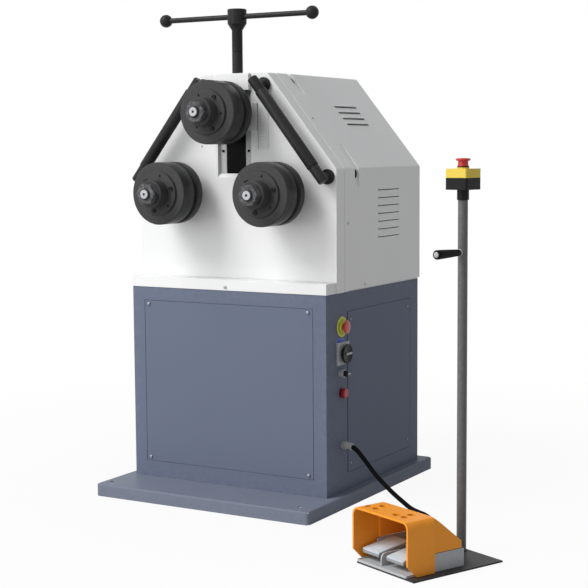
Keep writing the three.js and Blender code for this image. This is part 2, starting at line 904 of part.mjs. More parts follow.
function baseRing() {
  const skirt_x = skirt_half_width;
  const skirt = block(-skirt_x, skirt_x, skirt_front_y, plate_front_y, cabinet_top_z, ledge_z);
  const ring_rear_y = hood_rear_y - hood_sheet - running_gap;
  const rear = block(-ring_half_width, ring_half_width, plate_front_y, ring_rear_y, cabinet_top_z, ledge_z);
  const wall = ring_half_width - ring_sheet;
  const hollow = block(
    -wall,
    wall,
    skirt_front_y + ring_sheet,
    ring_rear_y - ring_sheet,
    cabinet_top_z + ring_sheet,
    ledge_z - ring_sheet,
  );
  const top_mouth = block(
    -wall,
    wall,
    plate_front_y + plate_thickness + ring_sheet,
    ring_rear_y - ring_sheet,
    ledge_z - ring_sheet - cut_margin,
    ledge_z + cut_margin,
  );
  const low_mouth = block(
    ring_flange - ring_half_width,
    ring_half_width - ring_flange,
    skirt_front_y + ring_flange,
    ring_rear_y - ring_flange,
    cabinet_top_z - cut_margin,
    cabinet_top_z + ring_sheet + cut_margin,
  );
  const strip = block(
    wall,
    plate_half_width + hood_offset - hood_sheet - running_gap,
    hood_strip_front_y,
    hood_strip_rear_y,
    hood_strip_low_z,
    hood_strip_high_z,
  );
  const screw = rodOnY(
    panel_screw_radius,
    skirt_front_y - panel_screw_height,
    skirt_front_y + ring_sheet,
    0,
    skirt_screw_z,
    screw_sides,
  );
  return cut(skirt.add(rear), [hollow, top_mouth, low_mouth]).add(bothSides(strip)).add(screw);
}

// The housing's front outline, moved inwards by an inset.
function housingOutline(inset, low_z, radius) {
  const slope_x = plate_half_width - top_half_width;
  const slope_z = housing_top_z - bend_z;
  const slope = Math.atan2(slope_z, slope_x);
  const at_bend = inset * Math.tan((right_angle - slope) * half_share);
  const at_top = inset * Math.tan(slope * half_share);
  const half_width = plate_half_width - inset;
  const top_half = top_half_width - at_top;
  const bend_height = bend_z - at_bend;
  const top_z = housing_top_z - inset;
  return rounded(
    [
      [-half_width, low_z],
      [half_width, low_z],
      [half_width, bend_height],
      [top_half, top_z],
      [-top_half, top_z],
      [-half_width, bend_height],
    ],
    [0, 0, radius, radius, radius, radius],
  );
}

function frontPlate() {
  const plate_rear_y = plate_front_y + plate_thickness;
  const plate = alongY(housingOutline(0, ledge_z, bend_radius), plate_front_y, plate_rear_y);
  const sides_front = alongY(housingOutline(0, cabinet_top_z, bend_radius), plate_rear_y, return_step_y);
  const sides_rear = alongY(
    housingOutline(return_step, cabinet_top_z, bend_radius),
    return_step_y,
    return_rear_y,
  );
  const hollow = alongY(
    housingOutline(return_thickness, cabinet_top_z - cut_margin, bend_radius),
    plate_rear_y,
    return_rear_y + cut_margin,
  );
  const ear = block(
    plate_half_width - return_thickness,
    plate_half_width,
    plate_front_y,
    plate_rear_y,
    cabinet_top_z,
    ledge_z,
  );
  const sill_low_z = slot_bottom_z - slot_bevel;
  const slot = block(
    -slot_half_width,
    slot_half_width,
    plate_front_y - cut_margin,
    return_rear_y + cut_margin,
    slot_bottom_z,
    housing_top_z + cut_margin,
  ).subtract(
    block(
      -slot_half_width - cut_margin,
      slot_half_width + cut_margin,
      bridge_rear_y + running_gap,
      return_rear_y + cut_margin + cut_margin,
      slot_bottom_z - cut_margin,
      housing_top_z + cut_margin + cut_margin,
    ),
  );
  const bevel = alongX(
    [
      [plate_front_y - cut_margin, slot_bottom_z + cut_margin],
      [plate_front_y - cut_margin, sill_low_z],
      [plate_front_y, sill_low_z],
      [plate_rear_y - sheet, slot_bottom_z],
      [plate_rear_y - sheet, slot_bottom_z + cut_margin],
    ],
    -slot_half_width,
    slot_half_width,
  );
  const bearing_hole = rodOnY(
    bearing_hole_radius,
    plate_front_y - cut_margin,
    plate_rear_y + cut_margin,
    lower_shaft_x,
    lower_shaft_z,
  );
  return cut(joined([plate, sides_front.add(sides_rear).subtract(hollow), bothSides(ear)]), [
    slot,
    bevel,
    bothSides(bearing_hole),
  ]);
}

function slideGuide() {
  const plate_rear_y = plate_front_y + plate_thickness;
  const rail = block(
    guide_inner_half_width,
    guide_half_width,
    plate_rear_y,
    guide_tie_rear_y,
    guide_low_z,
    slot_top_z,
  );
  const gib = block(
    gib_inner_half_width,
    slot_half_width - running_gap,
    gib_front_y,
    gib_rear_y,
    slot_bottom_z + running_gap,
    slot_top_z,
  );
  const bolts = [gib_bolt_low_z, gib_bolt_high_z].map((z) =>
    rodOnY(
      gib_bolt_radius,
      gib_front_y - gib_bolt_height,
      gib_front_y + gib_bolt_height,
      gib_bolt_x,
      z,
      screw_sides,
    ),
  );
  const tie = block(
    -guide_half_width,
    guide_half_width,
    guide_tie_front_y,
    guide_tie_rear_y,
    guide_low_z,
    slot_top_z,
  );
  return bothSides(joined([rail, gib, ...bolts])).add(tie);
}

function bridgeBlock() {
  const top_z = housing_top_z;
  const body = block(-bridge_half_width, bridge_half_width, bridge_front_y, bridge_rear_y, slot_top_z, top_z);
  const bore = rodOnZ(
    screw_radius + thread_gap,
    slot_top_z - cut_margin,
    top_z + cut_margin,
    0,
    screw_y,
  );
  return body.subtract(bore);
}

function slideCarriage() {
  const neck = block(
    -slide_half_width,
    slide_half_width,
    slide_front_y,
    slide_flange_rear_y,
    slide_low_z,
    slide_top_z,
  );
  const flange = block(
    -slide_flange_half_width,
    slide_flange_half_width,
    slide_flange_front_y,
    slide_flange_rear_y,
    slide_flange_low_z,
    slide_top_z,
  );
  const cover = block(
    -slide_cover_half_width,
    slide_cover_half_width,
    slide_cover_front_y,
    slide_cover_rear_y,
    slide_cover_low_z,
    slide_low_z + cut_margin,
  );
  const bore = rodOnY(
    bearing_bore_radius,
    slide_front_y - cut_margin,
    slide_flange_rear_y + cut_margin,
    0,
    upper_shaft_z,
  );
  const seat = rodOnZ(screw_radius + thread_gap, screw_seat_z, slide_top_z + cut_margin, 0, screw_y);
  return cut(joined([neck, flange, cover]), [bore, seat]);
}

// A shaft that carries one roller set, with its thread and centre hole in front.
function rollerShaft(x, z, rear_y) {
  const shaft = turnedOnY(
    [
      [0, shaft_front_y],
      [screw_radius - shaft_tip_bevel, shaft_front_y],
      [screw_radius, shaft_front_y + shaft_tip_bevel],
      [screw_radius, shaft_thread_rear_y],
      [spigot_radius, shaft_thread_rear_y],
      [spigot_radius, back_disc_rear_y],
      [shoulder_radius, back_disc_rear_y],
      [shoulder_radius, shoulder_rear_y],
      [journal_radius, shoulder_rear_y],
      [journal_radius, rear_y],
      [0, rear_y],
    ],
    x,
    z,
    round_sides,
  );
  const centre = rodOnY(
    centre_hole_radius,
    shaft_front_y - cut_margin,
    shaft_front_y + centre_hole_depth,
    x,
    z,
    screw_sides,
  );
  return shaft.subtract(centre);
}

// The pair of roller halves with the narrower core between them.
function rollerBody(x, z) {
  const bevel = roller_edge_bevel;
  return turnedOnY(
    [
      [roller_bore_radius, roller_front_y],
      [roller_radius - bevel, roller_front_y],
      [roller_radius, roller_front_y + bevel],
      [roller_radius, roller_rear_y],
      [roller_core_radius, roller_rear_y],
      [roller_core_radius, back_disc_front_y],
      [roller_radius, back_disc_front_y],
      [roller_radius, back_disc_rear_y - bevel - running_gap],
      [roller_radius - bevel, back_disc_rear_y - running_gap],
      [roller_bore_radius, back_disc_rear_y - running_gap],
      [roller_bore_radius, roller_front_y],
    ],
    x,
    z,
  );
}

// The clamping flange with its long collar and three cap screws.
function clampFlange(x, z, first_angle) {
  const profile = [
    [roller_bore_radius, roller_front_y],
    [roller_bore_radius, clamp_collar_front_y],
    [clamp_collar_radius - roller_edge_bevel, clamp_collar_front_y],
    [clamp_collar_radius, clamp_collar_front_y + roller_edge_bevel],
    [clamp_collar_radius, flange_front_y],
    [flange_radius - roller_edge_bevel, flange_front_y],
    [flange_radius, flange_front_y + roller_edge_bevel],
    [flange_radius, roller_front_y],
    [roller_bore_radius, roller_front_y],
  ];
  const bodies = [turnedOnY(profile, x, z)];
  for (let i = 0; i < clamp_screw_count; i += 1) {
    const angle = first_angle + (whole_turn * i) / clamp_screw_count;
    bodies.push(
      rodOnY(
        clamp_screw_radius,
        flange_front_y - clamp_screw_height,
        flange_front_y + roller_edge_bevel,
        x + clamp_screw_circle * Math.cos(angle),
        z + clamp_screw_circle * Math.sin(angle),
        screw_sides,
      ),
    );
  }
  return joined(bodies);
}

function clampNut(x, z) {
  const half_flat = nut_across_flats * half_share;
  const corner_radius = half_flat / Math.cos((whole_turn / nut_sides) * half_share);
  const bore = ringOf(round_sides, screw_radius + thread_gap, x, z);
  const hexagon = ringOf(nut_sides, corner_radius, x, z, right_angle);
  return alongY(hexagon, nut_front_y, clamp_collar_front_y, [bore]);
}

function bearingHousing(x) {
  const profile = [
    [bearing_bore_radius, bearing_cover_front_y],
    [bearing_cover_radius, bearing_cover_front_y],
    [bearing_cover_radius, plate_front_y],
    [bearing_spigot_radius, plate_front_y],
    [bearing_spigot_radius, bearing_rear_y],
    [bearing_bore_radius, bearing_rear_y],
    [bearing_bore_radius, bearing_cover_front_y],
  ];
  return turnedOnY(profile, x, lower_shaft_z);
}

// The outline of a toothed wheel with straight-sided teeth.
function toothOutline(teeth, x, z, first_angle) {
  const tooth_module = lower_shaft_x / ((gear_teeth + pinion_teeth) * half_share);
  const pitch_radius = teeth * tooth_module * half_share;
  const tip_radius = pitch_radius + tooth_module * addendum_share;
  const root_radius = pitch_radius - tooth_module * dedendum_share;
  const step = whole_turn / teeth;
  const points = [];
  for (let i = 0; i < teeth; i += 1) {
    const middle = first_angle + step * i;
    const corners = [
      [root_radius, -tooth_root_share],
      [tip_radius, -tooth_tip_share],
      [tip_radius, tooth_tip_share],
      [root_radius, tooth_root_share],
    ];
    for (const [radius, share] of corners) {
      const angle = middle + step * share;
      points.push([x + radius * Math.cos(angle), z + radius * Math.sin(angle)]);
    }
  }
  return points;
}

function shaftGear(x) {
  const first_angle = (whole_turn / gear_teeth) * half_share;
  const bore = ringOf(fine_sides, gear_bore_radius, x, lower_shaft_z);
  return alongY(toothOutline(gear_teeth, x, lower_shaft_z, first_angle), gear_front_y, gear_rear_y, [bore]);
}

function drivePinion() {
  const wheel = alongY(toothOutline(pinion_teeth, 0, lower_shaft_z, 0), gear_front_y, gear_rear_y);
  const shaft = rodOnY(
    pinion_shaft_radius,
    pinion_shaft_front_y,
    pinion_shaft_rear_y,
    0,
    lower_shaft_z,
    round_sides,
  );
  return wheel.add(shaft);
}

const mount_plate_low_z = cabinet_top_z + ring_sheet;
const mount_plate_top_z = mount_plate_low_z + mount_plate_thickness;

function mountingPlate() {
  return block(
    -mount_plate_half_width,
    mount_plate_half_width,
    mount_plate_front_y,
    mount_plate_rear_y,
    mount_plate_low_z,
    mount_plate_top_z,
  );
}

function gearbox() {
  const w = gearbox_half_width;
  const body = block(-w, w, gearbox_front_y, gearbox_rear_y, gearbox_low_z, gearbox_high_z);
  const column = block(
    -column_half_width,
    column_half_width,
    gearbox_front_y + column_inset_y,
    gearbox_rear_y - column_inset_y,
    mount_plate_top_z,
    gearbox_low_z + cut_margin,
  );
  const foot_top_z = mount_plate_top_z + column_inset_y;
  const foot = block(-w, w, gearbox_front_y, gearbox_rear_y, mount_plate_top_z, foot_top_z);
  const boss = rodOnY(
    gearbox_boss_radius,
    gearbox_boss_front_y,
    gearbox_front_y + cut_margin,
    0,
    lower_shaft_z,
    round_sides,
  );
  const bore = rodOnY(
    pinion_shaft_radius + journal_gap,
    gearbox_boss_front_y - cut_margin,
    pinion_shaft_rear_y + running_gap,
    0,
    lower_shaft_z,
    round_sides,
  );
  return joined([body, column, foot, boss]).subtract(bore);
}

function motor() {
  const f = motor_flange_half_width;
  const flange_low_z = mount_plate_low_z - motor_flange_thickness;
  const flange = block(-f, f, motor_y - f, motor_y + f, flange_low_z, mount_plate_low_z);
  const barrel = rodOnZ(motor_radius, motor_low_z, flange_low_z + cut_margin, 0, motor_y);
  const terminals = block(
    motor_radius - cut_margin,
    motor_radius + terminal_box_depth,
    motor_y - terminal_box_half_width,
    motor_y + terminal_box_half_width,
    terminal_box_low_z,
    terminal_box_high_z,
  );
  return joined([flange, barrel, terminals]);
}

function electricalPlate() {
  const floor_z = plinth_height + sheet;
  const x = electric_plate_x;
  const [y0, y1] = [electric_plate_front_y, electric_plate_rear_y];
  const wall = block(x, x + sheet, y0, y1, floor_z, electric_plate_top_z);
  const foot = block(x, x + electric_foot, y0, y1, floor_z, floor_z + sheet);
  const bodies = [wall, foot];
  for (let i = 0; i < device_count; i += 1) {
    const y = device_first_y + device_pitch * i;
    bodies.push(
      block(x + sheet * half_share, x + device_depth, y, y + device_width, device_low_z, device_high_z),
    );
  }
  return joined(bodies);
}

// A point up the right-hand slope of the hood, or down from a bend, measured on its outer face.
const hood_slope = Math.atan2(housing_top_z - bend_z, plate_half_width - top_half_width);
const hood_bend = [
  plate_half_width + hood_offset,
  bend_z + hood_offset * Math.tan((right_angle - hood_slope) * half_share),
];
const hood_top_bend = [
  top_half_width + hood_offset * Math.tan(hood_slope * half_share),
  housing_top_z + hood_offset,
];
const upSlope = (origin, distance, depth = 0) => [
  origin[0] - distance * Math.cos(hood_slope) - depth * Math.sin(hood_slope),
  origin[1] + distance * Math.sin(hood_slope) - depth * Math.cos(hood_slope),
];

// The pocket and pan of a lifting recess across the lower bend.
function lowerRecess() {
  const [x, z] = hood_bend;
  const floorLine = (depth) => [
    [x - recess_floor_depth - depth, z - recess_hole_end],
    upSlope(hood_bend, recess_hole_end, recess_floor_depth + depth),
  ];
  const out = cut_margin;
  const pan = [
    [x - hood_sheet * half_share, z - recess_down_reach - hood_sheet],
    ...floorLine(hood_sheet),
    upSlope(hood_bend, recess_up_reach + hood_sheet, hood_sheet * half_share),
    [x - hood_sheet * half_share, z],
  ];
  const pocket = [
    [x, z - recess_down_reach],
    ...floorLine(0),
    upSlope(hood_bend, recess_up_reach),
    upSlope(hood_bend, recess_up_reach, -out),
    [x + out, z + out],
    [x + out, z - recess_down_reach],
  ];
  const hole = [
    [x + out, z - recess_hole_end],
    [x - recess_floor_depth - out - out, z - recess_hole_end],
    [x - recess_floor_depth - out - out, z - recess_hole_start],
    [x + out, z - recess_hole_start],
  ];
  return { pan, pocket, hole };
}

// The same across the top bend.
function upperRecess() {
  const [x, z] = hood_top_bend;
  const out = cut_margin;
  const floorLine = (depth) => [
    upSlope(hood_top_bend, -top_recess_hole_end, recess_floor_depth + depth),
    [x - recess_floor_depth, z - recess_floor_depth - depth],
  ];
  const pan = [
    upSlope(hood_top_bend, -top_recess_down_reach - hood_sheet, hood_sheet * half_share),
    ...floorLine(hood_sheet),
    [x - top_recess_reach - hood_sheet, z - hood_sheet * half_share],
    [x, z - hood_sheet * half_share],
  ];
  const pocket = [
    upSlope(hood_top_bend, -top_recess_down_reach),
    ...floorLine(0),
    [x - top_recess_reach, z],
    [x - top_recess_reach, z + out],
    [x + out, z + out],
    upSlope(hood_top_bend, -top_recess_down_reach, -out),
  ];
  const hole = [
    upSlope(hood_top_bend, -top_recess_hole_end, -out),
    upSlope(hood_top_bend, -top_recess_hole_end, recess_floor_depth + out + out),
    upSlope(hood_top_bend, -top_recess_hole_start, recess_floor_depth + out + out),
    upSlope(hood_top_bend, -top_recess_hole_start, -out),
  ];
  return { pan, pocket, hole };
}

// Slits and their lips, as outlines in X and Z that run along Y.
function louvreForms() {
  const slits = [];
  const lips = [];
  for (let i = 0; i < side_louvre_count; i += 1) {
    const x = hood_bend[0];
    const z = side_louvre_low_z + side_louvre_pitch * i;
    const low = z - louvre_opening * half_share;
    const high = z + louvre_opening * half_share;
    slits.push(rectangle(x - hood_sheet - cut_margin, x + cut_margin, low, high));
    lips.push([
      [x - hood_sheet * half_share, high],
      [x + louvre_lip, high],
      [x, high + louvre_lip_height],
      [x - hood_sheet * half_share, high + louvre_lip_height],
    ]);
  }
  for (let i = 0; i < slope_louvre_count; i += 1) {
    const middle = slope_louvre_first + slope_louvre_pitch * i;
    const near = middle - louvre_opening * half_share;
    const far = middle + louvre_opening * half_share;
    slits.push([
      upSlope(hood_bend, near, -cut_margin),
      upSlope(hood_bend, far, -cut_margin),
      upSlope(hood_bend, far, hood_sheet + cut_margin),
      upSlope(hood_bend, near, hood_sheet + cut_margin),
    ]);
    lips.push([
      upSlope(hood_bend, far, hood_sheet * half_share),
      upSlope(hood_bend, far, -louvre_lip),
      upSlope(hood_bend, far + louvre_lip_height, 0),
      upSlope(hood_bend, far + louvre_lip_height, hood_sheet * half_share),
    ]);
  }
  return { slits, lips };
}

function hood() {
  const outer = alongY(
    housingOutline(-hood_offset, hood_low_z, bend_radius + hood_offset),
    hood_front_y,
    hood_rear_y,
  );
  const inner = alongY(
    housingOutline(hood_sheet - hood_offset, hood_low_z - cut_margin, bend_radius + hood_offset - hood_sheet),
    hood_front_y - cut_margin,
    hood_rear_y - hood_sheet,
  );
  const { slits, lips } = louvreForms();
  const recesses = [lowerRecess(), upperRecess()];
  const pans = recesses.map(({ pan }) =>
    alongY(pan, recess_front_y - hood_sheet, recess_rear_y + hood_sheet),
  );
  const lip_bodies = lips.map((lip) => alongY(lip, louvre_front_y, louvre_rear_y));
  const screws = [
    rodOnX(
      hood_screw_radius,
      hood_bend[0] - hood_sheet * half_share,
      hood_bend[0] + hood_screw_height,
      hood_screw_front_y,
      hood_screw_front_z,
      screw_sides,
    ),
    rodOnX(
      hood_screw_radius,
      hood_bend[0] - hood_sheet * half_share,
      hood_bend[0] + hood_screw_height,
      hood_screw_low_y,
      hood_screw_low_z,
      screw_sides,
    ),
  ];
  const tools = [
    ...recesses.flatMap(({ pocket, hole }) => [
      alongY(pocket, recess_front_y, recess_rear_y),
      alongY(hole, recess_front_y, recess_rear_y),
    ]),
    ...slits.map((slit) => alongY(slit, louvre_front_y, louvre_rear_y)),
  ];
  const shell = outer.subtract(inner).add(bothSides(joined([...pans, ...lip_bodies, ...screws])));
  return shell.subtract(bothSides(joined(tools)));
}

function scalePlate() {
  return block(
    scale_left_x,
    scale_right_x,
    plate_front_y - scale_thickness,
    plate_front_y,
    scale_low_z,
    scale_high_z,
  );
}

function pointer() {
  const blade = block(
    pointer_left_x,
    pointer_right_x,
    pointer_front_y,
    pointer_rear_y,
    pointer_low_z,
    pointer_high_z,
  );
  const arm = block(
    pointer_arm_left_x,
    pointer_right_x,
    pointer_front_y,
    pointer_rear_y,
    pointer_low_z,
    pointer_low_z + pointer_arm_height,
  );
  const pad = block(
    pointer_arm_left_x,
    pointer_pad_right_x,
    pointer_rear_y - scale_thickness,
    slide_front_y,
    pointer_low_z,
    pointer_low_z + pointer_arm_height,
  );
  return joined([blade, arm, pad]);
}

function screwSpindle() {
  const spindle = turnedOnZ(
    [
      [0, screw_seat_z + running_gap],
      [screw_radius, screw_seat_z + running_gap],
      [screw_radius, thrust_collar_low_z],
      [thrust_collar_radius, thrust_collar_low_z],
      [thrust_collar_radius, thrust_collar_high_z],
      [screw_radius, thrust_collar_high_z],
      [screw_radius, spindle_seam_z],
      [screw_radius - seam_depth, spindle_seam_z + seam_depth],
      [screw_radius, spindle_seam_z + seam_depth + seam_depth],
      [screw_radius, spindle_top_z],
      [hub_radius - hub_bevel, hub_low_z],
      [hub_radius, hub_low_z + hub_bevel],
      [hub_radius, hub_high_z - hub_bevel],
      [hub_radius - hub_bevel, hub_high_z],
      [0, hub_high_z],
    ],
    0,
    screw_y,
  );
  return spindle.subtract(
    rodOnX(
      bar_radius + running_gap,
      -hub_radius - cut_margin,
      hub_radius + cut_margin,
      screw_y,
      bar_z,
      small_sides,
    ),
  );
}

function tommyBar() {
  const bodies = [rodOnX(bar_radius, -ball_x, ball_x, screw_y, bar_z, small_sides)];
  for (const x of [-ball_x, ball_x]) {
    const ball = new THREE.SphereGeometry(ball_radius, small_sides, ball_rows);
    ball.translate(x, screw_y, bar_z);
    bodies.push(bodyFrom(ball));
  }
  return joined(bodies);
}

// The right handle: a tube on a thinner bar whose ends show, and the posts that stand it off the plate.
function sideHandle() {
  const top = new THREE.Vector3(handle_top_x, handle_y, handle_top_z);
  const low = new THREE.Vector3(handle_low_x, handle_y, handle_low_z);
  const down = low.clone().sub(top).normalize();
  const top_seam = top.clone().addScaledVector(down, sleeve_top_length);
  const low_seam = low.clone().addScaledVector(down, -sleeve_low_length);
  const post = (x, z) => [
    rodOnY(post_radius, handle_y, plate_front_y, x, z, small_sides),
    rodOnY(post_boss_radius, plate_front_y - post_boss_length, plate_front_y, x, z, small_sides),
  ];
  return joined([
    barBetween(top_seam.toArray(), low_seam.toArray(), handle_radius, small_sides),
    barBetween(top.toArray(), low.toArray(), sleeve_radius, small_sides),
    ...post(post_top_x, post_top_z),
    ...post(post_low_x, post_low_z),
  ]);
}

const wall_x = cabinet_half_width;
const wall_inner_x = cabinet_half_width - sheet;

// What a control device has behind the wall: neck, ring nut and contact block.
function deviceBack(y, z) {
  const nut_x = wall_inner_x - running_gap;
  return joined([
    rodOnX(device_neck_radius, nut_x - device_nut_length, wall_x + scale_thickness, y, z, small_sides),
    rodOnX(device_nut_radius, nut_x - device_nut_length, nut_x, y, z, screw_sides),
    block(
      nut_x - device_nut_length - contact_block_length,
      nut_x - device_nut_length,
      y - contact_block_half,
      y + contact_block_half,
      z - contact_block_half,
      z + contact_block_half,
    ),
  ]);
}

const stemBore = (x1, y, z) =>
  rodOnX(
    stop_stem_radius + running_gap,
    wall_inner_x - contact_block_half,
    x1 + cut_margin,
    y,
    z,
    small_sides,
  );

function stopBody() {
  const face = wall_x + legend_thickness + stop_collar_length;
  return joined([
    deviceBack(stop_y, stop_z),
    rodOnX(legend_radius, wall_x, wall_x + legend_thickness, stop_y, stop_z),
    rodOnX(stop_collar_radius, wall_x, face, stop_y, stop_z),
  ]).subtract(stemBore(face, stop_y, stop_z));
}

function stopHead() {
  const start = wall_x + legend_thickness + stop_collar_length + stop_travel_room;
  const brim = start + stop_head_length * half_share;
  return turnedOnX(
    [
      [0, wall_inner_x - contact_block_half + stop_travel_room + running_gap],
      [stop_stem_radius, wall_inner_x - contact_block_half + stop_travel_room + running_gap],
      [stop_stem_radius, start],
      [stop_neck_radius, start],
      [stop_neck_radius + hub_bevel, brim],
      [stop_head_radius, brim + hub_bevel],
      [stop_head_radius, start + stop_head_length - hub_bevel],
      [stop_head_radius - hub_bevel, start + stop_head_length],
      [0, start + stop_head_length],
    ],
    stop_y,
    stop_z,
  );
}

function switchBody() {
  const face = wall_x + switch_plate_thickness;
  const plate = block(
    wall_x,
    face,
    switch_plate_front_y,
    switch_plate_rear_y,
    switch_plate_low_z,
    switch_plate_high_z,
  );
  const tag = block(
    wall_x,
    wall_x + tag_thickness,
    switch_plate_front_y,
    switch_plate_front_y + tag_length,
    switch_plate_high_z - tag_overlap,
    switch_plate_high_z + tag_rise,
  );
  return joined([plate, tag, deviceBack(switch_y, switch_z)]).subtract(stemBore(face, switch_y, switch_z));
}

function turningKnob(face, y, z, radius, length, grip_half, grip_length) {
  const start = face + running_gap;
  const knob = turnedOnX(
    [
      [0, wall_inner_x - contact_block_half + running_gap],
      [stop_stem_radius, wall_inner_x - contact_block_half + running_gap],
      [stop_stem_radius, start],
      [radius, start],
      [radius, start + length - hub_bevel],
      [radius - hub_bevel, start + length],
      [0, start + length],
    ],
    y,
    z,
  );
  const reach = radius - hub_bevel - hub_bevel;
  return knob.add(
    block(
      start + length - hub_bevel,
      start + length + grip_length,
      y - reach,
      y + reach,
      z - grip_half,
      z + grip_half,
    ),
  );
}

function selectorBody() {
  const face = wall_x + selector_barrel_length;
  return joined([
    deviceBack(selector_y, selector_z),
    rodOnX(selector_barrel_radius, wall_x, face, selector_y, selector_z),
  ]).subtract(stemBore(face, selector_y, selector_z));
}

function buttonBody() {
  const face = wall_x + button_ring_length;
  return joined([
    deviceBack(button_y, button_z),
    rodOnX(button_ring_radius, wall_x, face, button_y, button_z),
  ]).subtract(stemBore(face, button_y, button_z));
}

function buttonCap() {
  const start = wall_x + button_ring_length + button_travel_room;
  return turnedOnX(
    [
      [0, wall_inner_x - contact_block_half + button_travel_room + running_gap],
      [stop_stem_radius, wall_inner_x - contact_block_half + button_travel_room + running_gap],
      [stop_stem_radius, start],
      [button_cap_radius, start],
      [button_cap_radius, start + button_cap_length - hub_bevel],
      [button_cap_radius - hub_bevel, start + button_cap_length],
      [0, start + button_cap_length],
    ],
    button_y,
    button_z,
  );
}

function cableGland() {
  const nut_x = wall_inner_x - running_gap;
  return joined([
    rodOnX(gland_radius, wall_x, wall_x + gland_length, gland_y, gland_z, small_sides),
    rodOnX(
      gland_thread_radius,
      nut_x - device_nut_length,
      wall_x + scale_thickness,
      gland_y,
      gland_z,
      small_sides,
    ),
    rodOnX(gland_radius, nut_x - device_nut_length, nut_x, gland_y, gland_z, small_sides),
  ]);
}

// The cable's centre line: off the gland, down to the floor, round behind the pedal and into its rear wall.
const cable_route = [
  [352.7, -152, 178],
  [357, -152, 178],
  [366, -152, 177],
  [380, -151.6, 171.5],
  [393, -151.2, 161],
  [407, -151, 146],
  [426, -150, 124],
  [445, -150, 103],
  [463, -150, 86],
  [500, -150, 55],
  [537, -150, 29],
  [563, -151, 13.5],
  [588, -156, 7.5],
  [612, -170, 7],
  [640, -198, 7],
  [668, -238, 7],
  [694, -280, 7],
  [718, -318, 7],
  [738, -350, 8],
  [757, -380, 12.5],
  [773, -404, 13.5],
  [786, -430, 16],
  [789.5, -452, 20.5],
  [786.3, -471.4, 24.8],
  [779.8, -486.1, 26],
  [774.1, -498.85, 26],
];

function cable() {
  const route = new THREE.CatmullRomCurve3(cable_route.map((place) => new THREE.Vector3(...place)));
  const section = new THREE.Shape(
    ringOf(cable_sides, cable_radius, 0, 0).map(([a, b]) => new THREE.Vector2(a, b)),
  );
  return bodyFrom(
    new THREE.ExtrudeGeometry(section, { steps: cable_steps, bevelEnabled: false, extrudePath: route }),
  );
}

function stand() {
  const plate = block(stand_left, stand_right, stand_front, stand_back, 0, stand_thickness);
  const pole = rodOnZ(pole_radius, stand_thickness * half_share, pole_top_z, 0, 0);
  const foot_top_z = stand_thickness + pole_foot_height;
  const foot = rodOnZ(pole_foot_radius, stand_thickness * half_share, foot_top_z, 0, 0);
  const stem_end = grip_washer_end + running_gap;
  const stem = barBetween(
    [0, 0, grip_z],
    [0, -stem_end - grip_length, grip_z],
    grip_stem_radius,
    small_sides,
  );
  const washer = barBetween(
    [0, -grip_washer_start, grip_z],
    [0, -grip_washer_end, grip_z],
    grip_washer_radius,
    small_sides,
  );
  const handle = stem.add(washer).rotate([0, 0, box_turn / one_degree]);
  return joined([plate, pole, foot, handle]);
}

function poleGrip() {
  const end = grip_start + grip_length;
  const profile = [
    [grip_stem_radius + running_gap, grip_start],
    [grip_small_radius, grip_start],
    [grip_large_radius, end - grip_cap_length],
    [grip_large_radius, end],
    [grip_stem_radius + running_gap, end],
    [grip_stem_radius + running_gap, grip_start],
  ];
  const form = turned(profile, round_sides);
  form.rotateX(right_angle + right_angle).translate(0, 0, grip_z).rotateZ(box_turn);
  return bodyFrom(form);
}

function stopBoxBase() {
  const w = box_half_width;
  const wall = box_half_width - box_wall;
  const box = alongZ(rounded(rectangle(-w, w, -w, w), box_corner), box_low_z, box_seam_z);
  const hollow = block(-wall, wall, -wall, wall, box_low_z + box_wall, box_seam_z + cut_margin);
  const socket = rodOnZ(socket_radius, socket_low_z, box_low_z + box_wall, 0, 0);
  const bore = rodOnZ(socket_bore_radius, socket_low_z - cut_margin, pole_top_z + running_gap, 0, 0);
  return cut(box.subtract(hollow).add(socket), [bore]).rotate([0, 0, box_turn / one_degree]);
}

function stopBoxLid() {
  const w = box_half_width;
  const wall = box_half_width - box_wall;
  const lid = alongZ(rounded(rectangle(-w, w, -w, w), box_corner), box_seam_z, lid_top_z);
  const hollow = block(-wall, wall, -wall, wall, box_seam_z - cut_margin, lid_top_z - box_wall);
  const ring = rodOnZ(lid_ring_radius, lid_top_z - box_wall, lid_top_z + lid_ring_height, 0, 0);
  const bore = rodOnZ(
    station_stem_radius + running_gap,
    lid_top_z - box_wall - cut_margin,
    lid_top_z + lid_ring_height + cut_margin,
    0,
    0,
    small_sides,
  );
  return cut(lid.subtract(hollow).add(ring), [bore]).rotate([0, 0, box_turn / one_degree]);
}

function stationHead() {
  return turnedOnZ(
    [
      [0, station_stem_low_z],
      [station_stem_radius, station_stem_low_z],
      [station_stem_radius, station_head_low_z],
      [station_neck_radius, station_head_low_z],
      [station_neck_radius - shaft_tip_bevel, station_head_brim_z],
      [station_head_radius, station_head_brim_z],
      [station_head_radius, station_head_high_z - shaft_tip_bevel],
      [station_head_radius - shaft_tip_bevel, station_head_high_z],
      [0, station_head_high_z],
    ],
    0,
    0,
  );
}

